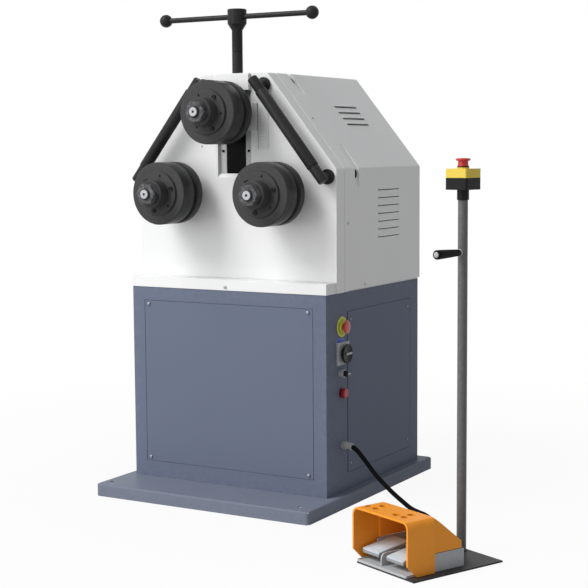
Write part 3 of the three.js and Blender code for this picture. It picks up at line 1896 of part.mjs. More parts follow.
// The guard: an inverted trough cut to its side profile, narrower behind the step.
function guard() {
  const trough = (left, right, top_z, low_z, front, rear, corner) =>
    alongY(rounded(rectangle(left, right, low_z, top_z), [0, 0, corner, corner]), front, rear);
  const frontProfile = (inset) => [
    [guard_front + guard_chamfer, guard_low_z - inset],
    [guard_front, guard_low_z + guard_chamfer],
    [guard_front, guard_top_z - inset],
    [guard_step, guard_top_z - inset],
    [guard_step, guard_low_z - inset],
  ];
  const front_outer = trough(
    guard_left,
    guard_right,
    guard_top_z,
    guard_low_z,
    guard_front,
    guard_step,
    guard_corner,
  ).intersect(alongX(frontProfile(0), guard_left - cut_margin, guard_right + cut_margin));
  const rear_profile = [
    [guard_step - cut_margin, guard_rear_low_z],
    [guard_rear, guard_rear_low_z],
    [guard_rear, guard_slope_end_z],
    [guard_step, guard_top_z],
    [guard_step - cut_margin, guard_top_z],
  ];
  const rear_outer = trough(
    guard_left + guard_rear_inset,
    guard_right - guard_rear_inset,
    guard_top_z,
    guard_rear_low_z,
    guard_step - cut_margin,
    guard_rear,
    guard_corner - guard_rear_inset,
  ).intersect(alongX(rear_profile, guard_left, guard_right));
  const wall = guard_wall;
  const front_inner = trough(
    guard_left + wall,
    guard_right - wall,
    guard_top_z - wall,
    guard_low_z - cut_margin,
    guard_front - cut_margin,
    guard_step - wall,
    guard_corner - wall,
  );
  const rear_inner_profile = [
    [guard_step - cut_margin - wall, guard_rear_low_z - cut_margin],
    [guard_rear - wall, guard_rear_low_z - cut_margin],
    [guard_rear - wall, guard_slope_end_z - wall],
    [guard_step - wall * half_share, guard_top_z - wall],
    [guard_step - cut_margin - wall, guard_top_z - wall],
  ];
  const rear_inner = trough(
    guard_left + guard_rear_inset + wall,
    guard_right - guard_rear_inset - wall,
    guard_top_z - wall,
    guard_rear_low_z - cut_margin,
    guard_step - cut_margin - wall,
    guard_rear - wall,
    guard_corner - guard_rear_inset - wall,
  ).intersect(alongX(rear_inner_profile, guard_left, guard_right));
  const passage = block(
    base_left - running_gap,
    base_right + running_gap,
    guard_step - wall - cut_margin,
    guard_step + cut_margin,
    guard_low_z - cut_margin,
    guard_rear_low_z,
  );
  const vents = [];
  for (const x of [vent_left_x, vent_right_x]) {
    const places = [
      [x - vent_spread, vent_front_y],
      [x + vent_spread, vent_front_y],
      [x + vent_spread * half_share, vent_back_y],
    ];
    for (const [a, b] of places)
      vents.push(
        rodOnZ(vent_radius, guard_top_z - wall - cut_margin, guard_top_z + cut_margin, a, b, small_sides),
      );
  }
  return cut(front_outer.add(rear_outer), [front_inner, rear_inner, passage, ...vents]);
}

function pedalBase() {
  const floor_z = stand_thickness;
  const sheet_top_z = floor_z + tray_sheet;
  const tray = alongZ(
    rounded(rectangle(tray_left, tray_right, tray_front, base_rear), box_corner),
    floor_z,
    sheet_top_z + tray_rim_height,
  ).subtract(
    alongZ(
      rounded(
        rectangle(tray_left + tray_rim, tray_right - tray_rim, tray_front + tray_rim, base_rear - base_wall),
        box_corner - tray_rim,
      ),
      sheet_top_z,
      sheet_top_z + cut_margin,
    ),
  );
  const walls = cut(block(base_left, base_right, base_front, base_rear, floor_z, base_top_z), [
    block(
      base_left + base_wall,
      base_right - base_wall,
      base_front - cut_margin,
      base_rear - base_wall,
      sheet_top_z,
      base_top_z + cut_margin,
    ),
  ]);
  const pin = rodOnX(
    pin_radius,
    base_left + base_wall * half_share,
    base_right - base_wall * half_share,
    pin_y,
    pin_z,
    small_sides,
  );
  const divider = alongX(
    rounded(
      [
        [divider_front, sheet_top_z - tray_sheet * half_share],
        [divider_rear, sheet_top_z - tray_sheet * half_share],
        [divider_rear, divider_top_z],
        [divider_front, divider_top_z],
      ],
      [0, 0, 0, divider_round],
    ),
    divider_left,
    divider_right,
  );
  const switches = [treadle_left_start, treadle_right_start].map((x) =>
    block(
      x + treadle_width * half_share - contact_block_half,
      x + treadle_width * half_share + contact_block_half,
      pedal_switch_front,
      pedal_switch_rear,
      sheet_top_z - tray_sheet * half_share,
      sheet_top_z + pedal_switch_height,
    ),
  );
  const entry = rodOnY(
    entry_radius,
    base_rear - base_wall * half_share,
    base_rear + entry_length,
    entry_x,
    entry_z,
    small_sides,
  );
  return joined([tray, walls, pin, divider, ...switches, entry]);
}

function treadle(start) {
  return alongX(
    [
      [treadle_front, treadle_front_low_z],
      [treadle_rear, treadle_rear_low_z],
      [treadle_rear, treadle_rear_high_z],
      [treadle_front, treadle_front_high_z],
    ],
    start,
    start + treadle_width,
    [ringOf(small_sides, pin_radius + running_gap, pin_y, pin_z)],
  );
}

function buildMachine() {
  addPiece(machine, "plinth_tray", plinthTray(), plinth_paint);
  addPiece(machine, "cabinet_shell", cabinetShell(), cabinet_paint);
  addPiece(machine, "front_panel", widePanel(onFrontWall, cabinet_front_y, -1), cabinet_paint);
  addPiece(machine, "rear_panel", widePanel(onRearWall, cabinet_rear_y, 1), cabinet_paint);
  addPiece(machine, "side_panel_right", sidePanel(), cabinet_paint);
  addPiece(machine, "side_panel_left", sidePanel().mirror([1, 0, 0]), cabinet_paint);
  addPiece(machine, "base_ring", baseRing(), housing_paint);
  addPiece(machine, "front_plate", frontPlate(), housing_paint);
  addPiece(machine, "slide_guide", slideGuide(), grey_steel);
  addPiece(machine, "bridge_block", bridgeBlock(), housing_paint);
  addPiece(machine, "hood", hood(), housing_paint);
  addPiece(machine, "scale_plate", scalePlate(), bright_steel);
  addPiece(machine, "handle_right", sideHandle(), gunmetal);
  addPiece(machine, "handle_left", sideHandle().mirror([1, 0, 0]), gunmetal);
  addPiece(machine, "mounting_plate", mountingPlate(), grey_steel);
  addPiece(machine, "gearbox", gearbox(), gearbox_paint);
  addPiece(machine, "motor", motor(), motor_paint);
  addPiece(machine, "electrical_plate", electricalPlate(), grey_steel);
}

function buildRollers() {
  const sets = [
    { side: "left", x: -lower_shaft_x, z: lower_shaft_z, rear_y: lower_shaft_rear_y, angle: low_screw_turn },
    { side: "right", x: lower_shaft_x, z: lower_shaft_z, rear_y: lower_shaft_rear_y, angle: low_screw_turn },
    { side: "upper", x: 0, z: upper_shaft_z, rear_y: upper_shaft_rear_y, angle: top_screw_turn },
  ];
  for (const { side, x, z, rear_y, angle } of sets) {
    addPiece(machine, `${side}_shaft`, rollerShaft(x, z, rear_y), bright_steel);
    addPiece(machine, `${side}_roller`, rollerBody(x, z), roller_steel);
    addPiece(machine, `${side}_clamp_flange`, clampFlange(x, z, angle), roller_steel);
    addPiece(machine, `${side}_nut`, clampNut(x, z), roller_steel);
  }
  addPiece(machine, "left_bearing_housing", bearingHousing(-lower_shaft_x), black_steel);
  addPiece(machine, "right_bearing_housing", bearingHousing(lower_shaft_x), black_steel);
  addPiece(machine, "left_gear", shaftGear(-lower_shaft_x), grey_steel);
  addPiece(machine, "right_gear", shaftGear(lower_shaft_x), grey_steel);
  addPiece(machine, "drive_pinion", drivePinion(), grey_steel);
  addPiece(machine, "slide_carriage", slideCarriage(), black_steel);
  addPiece(machine, "pointer", pointer(), gunmetal);
  addPiece(machine, "screw_spindle", screwSpindle(), gunmetal);
  addPiece(machine, "tommy_bar", tommyBar(), gunmetal);
}

function buildControls() {
  const knob_face = wall_x + switch_plate_thickness;
  const selector_face = wall_x + selector_barrel_length;
  addPiece(machine, "stop_body", stopBody(), yellow_plastic);
  addPiece(machine, "stop_head", stopHead(), red_plastic);
  addPiece(machine, "main_switch_body", switchBody(), grey_plastic);
  addPiece(
    machine,
    "main_switch_knob",
    turningKnob(
      knob_face,
      switch_y,
      switch_z,
      switch_knob_radius,
      switch_knob_length,
      switch_grip_half_width,
      switch_grip_length,
    ),
    black_plastic,
  );
  addPiece(machine, "selector_body", selectorBody(), bright_steel);
  addPiece(
    machine,
    "selector_knob",
    turningKnob(
      selector_face,
      selector_y,
      selector_z,
      selector_knob_radius,
      selector_knob_length,
      selector_grip_half_width,
      selector_grip_length,
    ),
    black_plastic,
  );
  addPiece(machine, "button_body", buttonBody(), black_plastic);
  addPiece(machine, "button_cap", buttonCap(), red_plastic);
  addPiece(machine, "cable_gland", cableGland(), black_plastic);
  addPiece(machine, "cable", cable(), black_plastic);
}

function buildStation() {
  addPiece(station, "stand", stand(), gunmetal);
  addPiece(station, "pole_grip", poleGrip(), black_plastic);
  addPiece(station, "stop_box_base", stopBoxBase(), black_plastic);
  addPiece(station, "stop_box_lid", stopBoxLid(), yellow_plastic);
  addPiece(station, "station_stop_head", stationHead(), red_plastic);
  addPiece(station, "pedal_guard", guard(), orange_plastic);
  addPiece(station, "pedal_base", pedalBase(), light_plastic);
  addPiece(station, "treadle_left", treadle(treadle_left_start), light_plastic);
  addPiece(station, "treadle_right", treadle(treadle_right_start), light_plastic);
}

buildMachine();
buildRollers();
buildControls();
buildStation();

export default machine;
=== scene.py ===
import math

import bpy
from bpy.props import FloatProperty, FloatVectorProperty, IntProperty, PointerProperty
from mathutils import Matrix, Vector


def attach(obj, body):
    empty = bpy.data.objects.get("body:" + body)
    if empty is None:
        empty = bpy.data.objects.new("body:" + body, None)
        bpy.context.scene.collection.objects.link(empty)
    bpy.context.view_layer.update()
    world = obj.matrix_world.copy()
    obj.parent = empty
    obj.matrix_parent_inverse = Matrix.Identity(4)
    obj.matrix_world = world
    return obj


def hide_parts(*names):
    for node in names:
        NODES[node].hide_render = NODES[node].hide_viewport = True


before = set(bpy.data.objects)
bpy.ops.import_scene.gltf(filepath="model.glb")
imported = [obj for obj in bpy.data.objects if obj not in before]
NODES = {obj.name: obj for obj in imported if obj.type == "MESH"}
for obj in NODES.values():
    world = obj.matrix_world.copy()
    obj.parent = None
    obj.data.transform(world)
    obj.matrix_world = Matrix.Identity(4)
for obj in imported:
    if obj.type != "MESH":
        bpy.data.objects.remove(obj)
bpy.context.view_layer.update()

bl_info = {
    "name": "Profile bending machine",
    "version": (1, 0, 0),
    "blender": (4, 5, 0),
    "location": "3D View > Sidebar > Bender",
    "description": "Dresses a three-roller profile bending machine with its pedal station",
    "category": "Add Mesh",
}

# Places and sizes on the machine, in metres.
LOWER_X = 0.1754
LOWER_Z = 0.9163
UPPER_Z = 1.1517
ROLLER_CENTRES = {
    "left": Vector((-LOWER_X, 0, LOWER_Z)),
    "right": Vector((LOWER_X, 0, LOWER_Z)),
    "upper": Vector((0, 0, UPPER_Z)),
}
SCREW_CIRCLE = 0.053
FLANGE_FACE_Y = -0.345
SHAFT_RADIUS = 0.016
SCREW_Y = -0.169
BAR_Z = 1.4347
BALL_X = 0.255
BALL_RADIUS = 0.0195
SLOPE = math.radians(50.95)
HOOD_HALF_WIDTH = 0.3456
PLINTH_CORNER = (0.3585, 0.4015)
LOUVRE_LOW_Z = 0.7765
LOUVRE_PITCH = 0.0237
STOP_AXIS = (0, -0.1536, 0.528)
SWITCH_AXIS = (0, -0.151, 0.4494)
STATION = Vector((0.846, -0.448, 0.0))
STATION_TURN = math.radians(-24.0)
GRIP_TURN = math.radians(-11.5)
GRIP_Z = 0.780

# Centre line of the cable, from the gland down to the floor and into the pedal's rear wall.
CABLE_ROUTE = [
    (0.3527, -0.152, 0.178), (0.357, -0.152, 0.178), (0.366, -0.152, 0.177), (0.380, -0.1516, 0.1715),
    (0.393, -0.1512, 0.161), (0.407, -0.151, 0.146), (0.426, -0.150, 0.124), (0.445, -0.150, 0.103),
    (0.463, -0.150, 0.086), (0.500, -0.150, 0.055), (0.537, -0.150, 0.029), (0.563, -0.151, 0.0135),
    (0.588, -0.156, 0.0075), (0.612, -0.170, 0.007), (0.640, -0.198, 0.007), (0.668, -0.238, 0.007),
    (0.694, -0.280, 0.007), (0.718, -0.318, 0.007), (0.738, -0.350, 0.008), (0.757, -0.380, 0.0125),
    (0.773, -0.404, 0.0135), (0.786, -0.430, 0.016), (0.7895, -0.452, 0.0205), (0.7863, -0.4714, 0.0248),
    (0.7798, -0.4861, 0.026), (0.7741, -0.49885, 0.026),
]

# Outlines of the turned parts, as (place on the axis, radius).
ROLLER_PROFILE = [
    (-0.3383, 0.0203), (-0.3383, 0.0905), (-0.3363, 0.0925), (-0.2845, 0.0925), (-0.2825, 0.0905),
    (-0.2825, 0.0660), (-0.2640, 0.0660), (-0.2640, 0.0905), (-0.2620, 0.0925), (-0.2403, 0.0925),
    (-0.2383, 0.0905), (-0.2383, 0.0203),
]
FLANGE_PROFILE = [
    (-0.3383, 0.0203), (-0.3820, 0.0203), (-0.3820, 0.0390), (-0.3800, 0.0410), (-0.3450, 0.0410),
    (-0.3450, 0.0635), (-0.3430, 0.0655), (-0.3383, 0.0655),
]
SPINDLE_PROFILE = [
    (1.1783, 0.0), (1.1783, 0.016), (1.2053, 0.016), (1.2053, 0.022), (1.2130, 0.022), (1.2130, 0.016),
    (1.3310, 0.016), (1.3315, 0.01525), (1.3325, 0.01525), (1.3330, 0.016), (1.3950, 0.016),
    (1.4120, 0.0268), (1.4135, 0.0285), (1.4555, 0.0285), (1.4570, 0.0268), (1.4570, 0.0),
]
CABINET_STOP_PROFILE = [
    (0.3278, 0.0), (0.3278, 0.005), (0.3495, 0.005), (0.3495, 0.0120), (0.3512, 0.0126), (0.3532, 0.0150),
    (0.3545, 0.0185), (0.3557, 0.0197), (0.3577, 0.0195), (0.3592, 0.0170), (0.3599, 0.0110), (0.3600, 0.0),
]
STATION_STOP_PROFILE = [
    (0.985, 0.0), (0.985, 0.005), (0.9982, 0.005), (0.9982, 0.0138), (1.005, 0.0130), (1.011, 0.0128),
    (1.0122, 0.0180), (1.0140, 0.0185), (1.0170, 0.0182), (1.0185, 0.0150), (1.0190, 0.0),
]
SWITCH_KNOB_PROFILE = [
    (0.3232, 0.0), (0.3232, 0.005), (0.3447, 0.005), (0.3447, 0.0170), (0.3525, 0.0190), (0.3535, 0.0275),
    (0.3548, 0.0290), (0.3580, 0.0290), (0.3592, 0.0278), (0.3592, 0.0240), (0.3582, 0.0222), (0.3582, 0.0),
]
GRIP_PROFILE = [
    (0.0170, 0.0044), (0.0170, 0.0075), (0.0220, 0.0086), (0.0600, 0.0105), (0.1000, 0.0119),
    (0.1120, 0.0120), (0.1142, 0.0110), (0.1152, 0.0090), (0.1152, 0.0044),
]
GRIP_CAP_PROFILE = [
    (0.1120, 0.0), (0.1120, 0.0078), (0.1150, 0.0076), (0.1164, 0.0060), (0.1170, 0.0035), (0.1170, 0.0),
]

# Paints: colour (None where the settings have it), roughness, worn colour, other values of painted().
PAINTS = {
    "cabinet paint": (None, 0.42, (0.32, 0.35, 0.42), {"wear": 0.2, "gloss": 0.05}),
    "plinth paint": (None, 0.42, (0.30, 0.33, 0.40), {"wear": 0.3, "gloss": 0.05}),
    "housing paint": (None, 0.36, (0.86, 0.86, 0.86), {"wear": 0.2, "drift": 0.03}),
    "gunmetal": (
        (0.026, 0.026, 0.027), 0.26, (0.08, 0.08, 0.085), {"wear": 0.2, "peel": 1500.0, "gloss": 0.08}
    ),
    "pole grey": ((0.115, 0.115, 0.117), 0.34, (0.2, 0.2, 0.2), {"wear": 0.2}),
    "stand grey": ((0.036, 0.036, 0.037), 0.45, (0.14, 0.14, 0.14), {"wear": 0.4, "gloss": 0.1}),
    "machined steel": ((0.30, 0.31, 0.32), 0.35, (0.6, 0.6, 0.6), {"peel": 2200.0}),
    "gib steel": ((0.46, 0.46, 0.47), 0.35, (0.6, 0.6, 0.6), {"wear": 0.3, "peel": 2200.0}),
    "screw grey": ((0.34, 0.34, 0.35), 0.4, (0.5, 0.5, 0.5), {"wear": 0.2, "peel": 2200.0}),
    "black steel": (
        (0.004, 0.004, 0.004), 0.36, (0.03, 0.03, 0.03), {"wear": 0.2, "peel": 1800.0, "gloss": 0.03}
    ),
    "gearbox paint": ((0.06, 0.08, 0.10), 0.5, (0.2, 0.2, 0.2), {"peel": 300.0}),
    "motor paint": ((0.03, 0.06, 0.11), 0.5, (0.2, 0.2, 0.2), {"peel": 300.0}),
    "silver": ((0.38, 0.39, 0.41), 0.28, (0.7, 0.7, 0.7), {"wear": 0.3, "peel": 2400.0, "gloss": 0.5}),
    "scale plate": ((0.74, 0.74, 0.74), 0.35, (0.8, 0.8, 0.8), {"wear": 0.2, "peel": 2000.0}),
}

# Plastics: colour (None where the settings have it), roughness, other values of moulded().
PLASTICS = {
    "black plastic": ((0.010, 0.010, 0.011), 0.42, {"gloss": 0.12}),
    "grey plastic": ((0.30, 0.31, 0.31), 0.45, {}),
    "red plastic": ((0.52, 0.018, 0.020), 0.28, {"coat": 0.3}),
    "crimson plastic": ((0.36, 0.016, 0.028), 0.34, {"coat": 0.2}),
    "dark red plastic": ((0.16, 0.010, 0.012), 0.40, {}),
    "yellow plastic": (None, 0.36, {}),
    "legend yellow": ((0.78, 0.82, 0.10), 0.40, {}),
    "legend olive": ((0.46, 0.52, 0.06), 0.45, {}),
    "orange plastic": (None, 0.38, {"peel": 800.0, "strength": 0.2}),
    "light plastic": ((0.46, 0.48, 0.50), 0.48, {"peel": 700.0, "strength": 0.25}),
    "treadle top": ((0.56, 0.63, 0.68), 0.5, {"peel": 260.0, "strength": 1.0}),
    "dark plastic": ((0.008, 0.008, 0.008), 0.45, {"gloss": 0.04}),
    "cable sheath": ((0.006, 0.006, 0.006), 0.40, {"peel": 900.0, "gloss": 0.02}),
    "blue tag": ((0.03, 0.10, 0.42), 0.45, {}),
}

COLOUR = {"subtype": "COLOR", "size": 3}


class CabinetSettings(bpy.types.PropertyGroup):
    edge_radius: FloatProperty(
        name="Edge radius", description="Rounding of the folded sheet edges", default=0.0016, unit="LENGTH"
    )
    cabinet_colour: FloatVectorProperty(
        name="Cabinet", description="Paint of the cabinet", default=(0.138, 0.160, 0.222), **COLOUR
    )
    plinth_colour: FloatVectorProperty(
        name="Plinth", description="Paint of the plinth", default=(0.172, 0.192, 0.248), **COLOUR
    )
    housing_colour: FloatVectorProperty(
        name="Housing", description="Paint of the upper housing", default=(0.80, 0.80, 0.80), **COLOUR
    )


class RollerSettings(bpy.types.PropertyGroup):
    sides: IntProperty(name="Sides", description="Facets round a roller", default=96, min=24)
    steel_colour: FloatVectorProperty(
        name="Roller steel",
        description="Blackened steel of the rollers",
        default=(0.042, 0.042, 0.043),
        **COLOUR,
    )


class StationSettings(bpy.types.PropertyGroup):
    guard_colour: FloatVectorProperty(
        name="Guard", description="Orange of the pedal guard", default=(0.93, 0.33, 0.022), **COLOUR
    )
    lid_colour: FloatVectorProperty(
        name="Lid", description="Yellow of the stop box lid", default=(0.76, 0.56, 0.07), **COLOUR
    )
    cable_radius: FloatProperty(
        name="Cable radius", description="Half the thickness of the cable", default=0.00675, unit="LENGTH"
    )


def cabinet_settings():
    return bpy.context.scene.bender_cabinet


def roller_settings():
    return bpy.context.scene.bender_rollers


def station_settings():
    return bpy.context.scene.bender_station


# Shader nodes.

def feed(tree, socket, value):
    """Links an output to a socket, or sets a plain value on it."""
    if isinstance(value, bpy.types.NodeSocket):
        tree.links.new(value, socket)
    else:
        socket.default_value = value


def added(tree, kind, **values):
    """A new shader node, with its inputs linked to outputs or set to plain values."""
    node = tree.nodes.new("ShaderNode" + kind)
    for label, value in values.items():
        feed(tree, node.inputs[label.replace("_", " ")], value)
    return node


def reckoned(tree, operation, *values):
    """The output of a math node."""
    node = added(tree, "Math")
    node.operation = operation
    for socket, value in zip(node.inputs, values):
        feed(tree, socket, value)
    return node.outputs[0]


def length_of(tree, vector):
    node = added(tree, "VectorMath")
    node.operation = "LENGTH"
    tree.links.new(vector, node.inputs[0])
    return node.outputs["Value"]


def object_place(tree):
    return added(tree, "TexCoord").outputs["Object"]


def noise(tree, vector, scale, detail=3.0, roughness=0.5):
    node = added(tree, "TexNoise", Vector=vector, Scale=scale, Detail=detail, Roughness=roughness)
    return node.outputs["Fac"]


def line_noise(tree, place, scale, detail):
    """Noise along one number only, which makes rings or bands."""
    node = added(tree, "TexNoise", Scale=scale, Detail=detail)
    node.noise_dimensions = "1D"
    tree.links.new(place, node.inputs["W"])
    return node.outputs["Fac"]


def ramp(tree, value, low, high):
    """Black below low, white above high."""
    node = added(tree, "ValToRGB", Fac=value)
    node.color_ramp.elements[0].position = low
    node.color_ramp.elements[1].position = high
    return node.outputs["Color"]


def ranged(tree, value, low, high, start=0.0, end=1.0):
    """Carries start to end over to low to high."""
    node = added(tree, "MapRange", Value=value, From_Min=start, From_Max=end, To_Min=low, To_Max=high)
    return node.outputs[0]


def new_group(name, inputs, outputs):
    group = bpy.data.node_groups.new(name, "ShaderNodeTree")
    for label, kind, value in inputs:
        socket = group.interface.new_socket(name=label, in_out="INPUT", socket_type=kind)
        if value is not None:
            socket.default_value = value
    for label in outputs:
        group.interface.new_socket(name=label, in_out="OUTPUT", socket_type="NodeSocketFloat")
    entry = group.nodes.new("NodeGroupInput")
    leave = group.nodes.new("NodeGroupOutput")
    return group, entry.outputs, leave.inputs


def paint_grain_group():
    """Fine orange peel of a sprayed or powder coat, with a slow drift in tone."""
    group, entry, leave = new_group(
        "paint grain",
        [("Peel scale", "NodeSocketFloat", 900.0), ("Tone drift", "NodeSocketFloat", 0.04)],
        ["Height", "Tone"],
    )
    place = object_place(group)
    group.links.new(noise(group, place, entry["Peel scale"], 2.0), leave["Height"])
    centred = reckoned(group, "SUBTRACT", noise(group, place, 3.5), 0.5)
    group.links.new(reckoned(group, "MULTIPLY_ADD", centred, entry["Tone drift"], 1.0), leave["Tone"])
    return group


def edge_wear_and_highlight_group():
    """A mask that is bright along outer edges, broken up by noise: rubbed edges on paint, and painted rim
    highlights on the rollers.
    """
    group, entry, leave = new_group(
        "edge wear and highlight",
        [("Amount", "NodeSocketFloat", 0.5), ("Break up", "NodeSocketFloat", 60.0)],
        ["Mask"],
    )
    sharp = ramp(group, added(group, "NewGeometry").outputs["Pointiness"], 0.52, 0.62)
    broken = ramp(group, noise(group, object_place(group), entry["Break up"], 4.0, 0.6), 0.40, 0.62)
    both = reckoned(group, "MULTIPLY", sharp, broken)
    group.links.new(reckoned(group, "MULTIPLY", both, entry["Amount"]), leave["Mask"])
    return group


def turning_marks_group():
    """Concentric tool marks round an axis that runs along Y, from coordinates centred on it."""
    group, entry, leave = new_group(
        "turning marks",
        [("Centred", "NodeSocketVector", None), ("Pitch", "NodeSocketFloat", 2200.0)],
        ["Height", "Streak"],
    )
    parts = added(group, "SeparateXYZ", Vector=entry["Centred"]).outputs
    flat = added(group, "CombineXYZ", X=parts["X"], Y=parts["Z"])
    along = reckoned(group, "ADD", length_of(group, flat.outputs[0]), parts["Y"])
    group.links.new(line_noise(group, along, entry["Pitch"], 3.0), leave["Height"])
    group.links.new(line_noise(group, along, 260.0, 2.0), leave["Streak"])
    return group


SHARED_GROUPS = {
    "paint grain": paint_grain_group,
    "edge wear and highlight": edge_wear_and_highlight_group,
    "turning marks": turning_marks_group,
}


def place_group(tree, name, **values):
    """Puts a shared group into a material, and makes the group when it is first needed."""
    node = added(tree, "Group")
    node.node_tree = bpy.data.node_groups.get(name) or SHARED_GROUPS[name]()
    for label, value in values.items():
        feed(tree, node.inputs[label.replace("_", " ")], value)
    return node.outputs


def mixed(tree, factor, low, high):
    """A colour mix whose factor is an output socket, and whose ends are sockets or colours."""
    node = added(tree, "Mix")
    node.data_type = "RGBA"
    tree.links.new(factor, node.inputs["Factor"])
    for socket, value in ((node.inputs[6], low), (node.inputs[7], high)):
        feed(tree, socket, value if isinstance(value, bpy.types.NodeSocket) else (*value, 1.0))
    return node.outputs[2]


# Materials.

def blank_material(name, gloss):
    material = bpy.data.materials.new(name)
    material.use_nodes = True
    shader = material.node_tree.nodes["Principled BSDF"]
    shader.inputs["Specular IOR Level"].default_value = gloss
    return material, material.node_tree, shader.inputs


def add_bump(tree, into, height, strength, distance):
    bump = added(tree, "Bump", Strength=strength, Distance=distance, Height=height)
    tree.links.new(bump.outputs["Normal"], into["Normal"])


def painted(
    name, colour, roughness, worn_colour, wear=0.5, peel=900.0, drift=0.06, coat=0.0, gloss=0.25, bump=0.12
):
    """Sprayed paint: drifting tone, orange peel and thin spots at the edges."""
    material, tree, into = blank_material(name, gloss)
    grain = place_group(tree, "paint grain", Peel_scale=peel, Tone_drift=drift)
    # Lighter edges: rubbed paint, which on the dark paints also serves as a painted edge highlight.
    wear_and_highlight = place_group(tree, "edge wear and highlight", Amount=wear, Break_up=70.0)
    toned = added(tree, "HueSaturation", Color=(*colour, 1.0), Value=grain["Tone"])
    tree.links.new(mixed(tree, wear_and_highlight["Mask"], toned.outputs["Color"], worn_colour), into["Base Color"])
    tree.links.new(ranged(tree, grain["Height"], roughness - 0.05, roughness + 0.06), into["Roughness"])
    into["Coat Weight"].default_value = coat
    into["Coat Roughness"].default_value = 0.15
    add_bump(tree, into, grain["Height"], bump, 0.0004)
    return material


def moulded(name, colour, roughness, peel=1400.0, strength=0.15, coat=0.0, gloss=0.25):
    """Moulded plastic or rubber: a fine eroded texture, lighter where it is rubbed."""
    light = [min(1.0, part * 1.4 + 0.02) for part in colour]
    return painted(name, colour, roughness, light, 0.3, peel, 0.05, coat, gloss, strength)


def turned_steel(name, colour, centre):
    """Blackened steel turned on a lathe, with rings round the axis through centre, and a painted highlight on
    its rims.
    """
    material, tree, into = blank_material(name, 0.06)
    centred = added(tree, "Mapping", Location=[-part for part in centre], Vector=object_place(tree))
    marks = place_group(tree, "turning marks", Pitch=1900.0, Centred=centred.outputs[0])
    ringed = mixed(tree, marks["Streak"], colour, [part * 1.5 for part in colour])
    # The light grey on the sharp rims is a painted highlight.
    wear_and_highlight = place_group(tree, "edge wear and highlight", Amount=0.4, Break_up=90.0)
    tree.links.new(mixed(tree, wear_and_highlight["Mask"], ringed, (0.24, 0.24, 0.25)), into["Base Color"])
    tree.links.new(ranged(tree, marks["Streak"], 0.22, 0.36), into["Roughness"])
    add_bump(tree, into, marks["Height"], 0.10, 0.0002)
    return material


def make_material(name):
    cabinet, roller, station = cabinet_settings(), roller_settings(), station_settings()
    chosen = {
        "cabinet paint": cabinet.cabinet_colour,
        "plinth paint": cabinet.plinth_colour,
        "housing paint": cabinet.housing_colour,
        "yellow plastic": station.lid_colour,
        "orange plastic": station.guard_colour,
    }
    if name in PAINTS:
        colour, roughness, worn_colour, looks = PAINTS[name]
        return painted(name, tuple(chosen.get(name, colour)), roughness, worn_colour, **looks)
    if name in PLASTICS:
        colour, roughness, looks = PLASTICS[name]
        return moulded(name, tuple(chosen.get(name, colour)), roughness, **looks)
    if name.startswith("roller steel"):
        return turned_steel(name, tuple(roller.steel_colour), ROLLER_CENTRES[name.split()[-1]])
    raise ValueError("no material is named " + name)


# The materials made so far. A look into bpy.data would find the frame's own ones with the same name.
MADE = {}


def material_for(name):
    """The finished material for a named surface, made once."""
    if name not in MADE:
        MADE[name] = make_material(name)
    return MADE[name]


# Modelling helpers.

def clear_selection():
    """Leaves edit mode, if need be, and selects nothing."""
    if bpy.context.mode != "OBJECT":
        bpy.ops.object.mode_set(mode="OBJECT")
    bpy.ops.object.select_all(action="DESELECT")


def only(piece):
    clear_selection()
    piece.select_set(True)
    bpy.context.view_layer.objects.active = piece


def edit_all(piece):
    """Opens a piece for editing with all of it selected."""
    only(piece)
    bpy.ops.object.mode_set(mode="EDIT")
    bpy.ops.mesh.select_all(action="SELECT")


def settle(piece):
    """Puts the object's place into its mesh."""
    only(piece)
    bpy.ops.object.transform_apply(location=True, rotation=True, scale=True)
    return piece


def smoothed(piece, degrees=40.0):
    only(piece)
    bpy.ops.object.shade_smooth_by_angle(angle=math.radians(degrees))
    return piece


def rounded_edges(piece, radius, segments=2, angle=35.0):
    only(piece)
    bevel = piece.modifiers.new("edge", "BEVEL")
    bevel.width = radius
    bevel.segments = segments
    bevel.limit_method = "ANGLE"
    bevel.angle_limit = math.radians(angle)
    bevel.harden_normals = False
    bpy.ops.object.modifier_apply(modifier=bevel.name)
    return smoothed(piece)


def outward(piece):
    edit_all(piece)
    bpy.ops.mesh.remove_doubles(threshold=0.00001)
    bpy.ops.mesh.normals_make_consistent(inside=False)
    bpy.ops.object.mode_set(mode="OBJECT")
    return piece


def mirrored(piece):
    """Turns a right-hand piece into a left-hand one."""
    edit_all(piece)
    bpy.ops.transform.mirror(constraint_axis=(True, False, False), center_override=(0, 0, 0))
    bpy.ops.mesh.normals_make_consistent(inside=False)
    bpy.ops.object.mode_set(mode="OBJECT")
    return piece


def finish_piece(piece, name, surface, body="machine", replaced=()):
    piece.name = name
    piece.data.name = name
    piece.data.materials.clear()
    piece.data.materials.append(material_for(surface))
    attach(piece, body)
    if replaced:
        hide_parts(*replaced)
    return piece


def stand_in(piece, node, surface, body="machine"):
    """Finishes a piece that stands for a CAD node."""
    return finish_piece(piece, node + "_finished", surface, body, (node,))


def drawn_line(points):
    """Opens a new piece for editing, with a line drawn through points."""
    clear_selection()
    bpy.ops.mesh.primitive_plane_add(size=0.01, location=points[0])
    piece = bpy.context.object
    bpy.ops.object.mode_set(mode="EDIT")
    bpy.ops.mesh.merge(type="CENTER")
    for before, after in zip(points, points[1:]):
        bpy.ops.mesh.extrude_vertices_move(TRANSFORM_OT_translate={"value": after - before})
    bpy.ops.mesh.select_all(action="SELECT")
    return piece


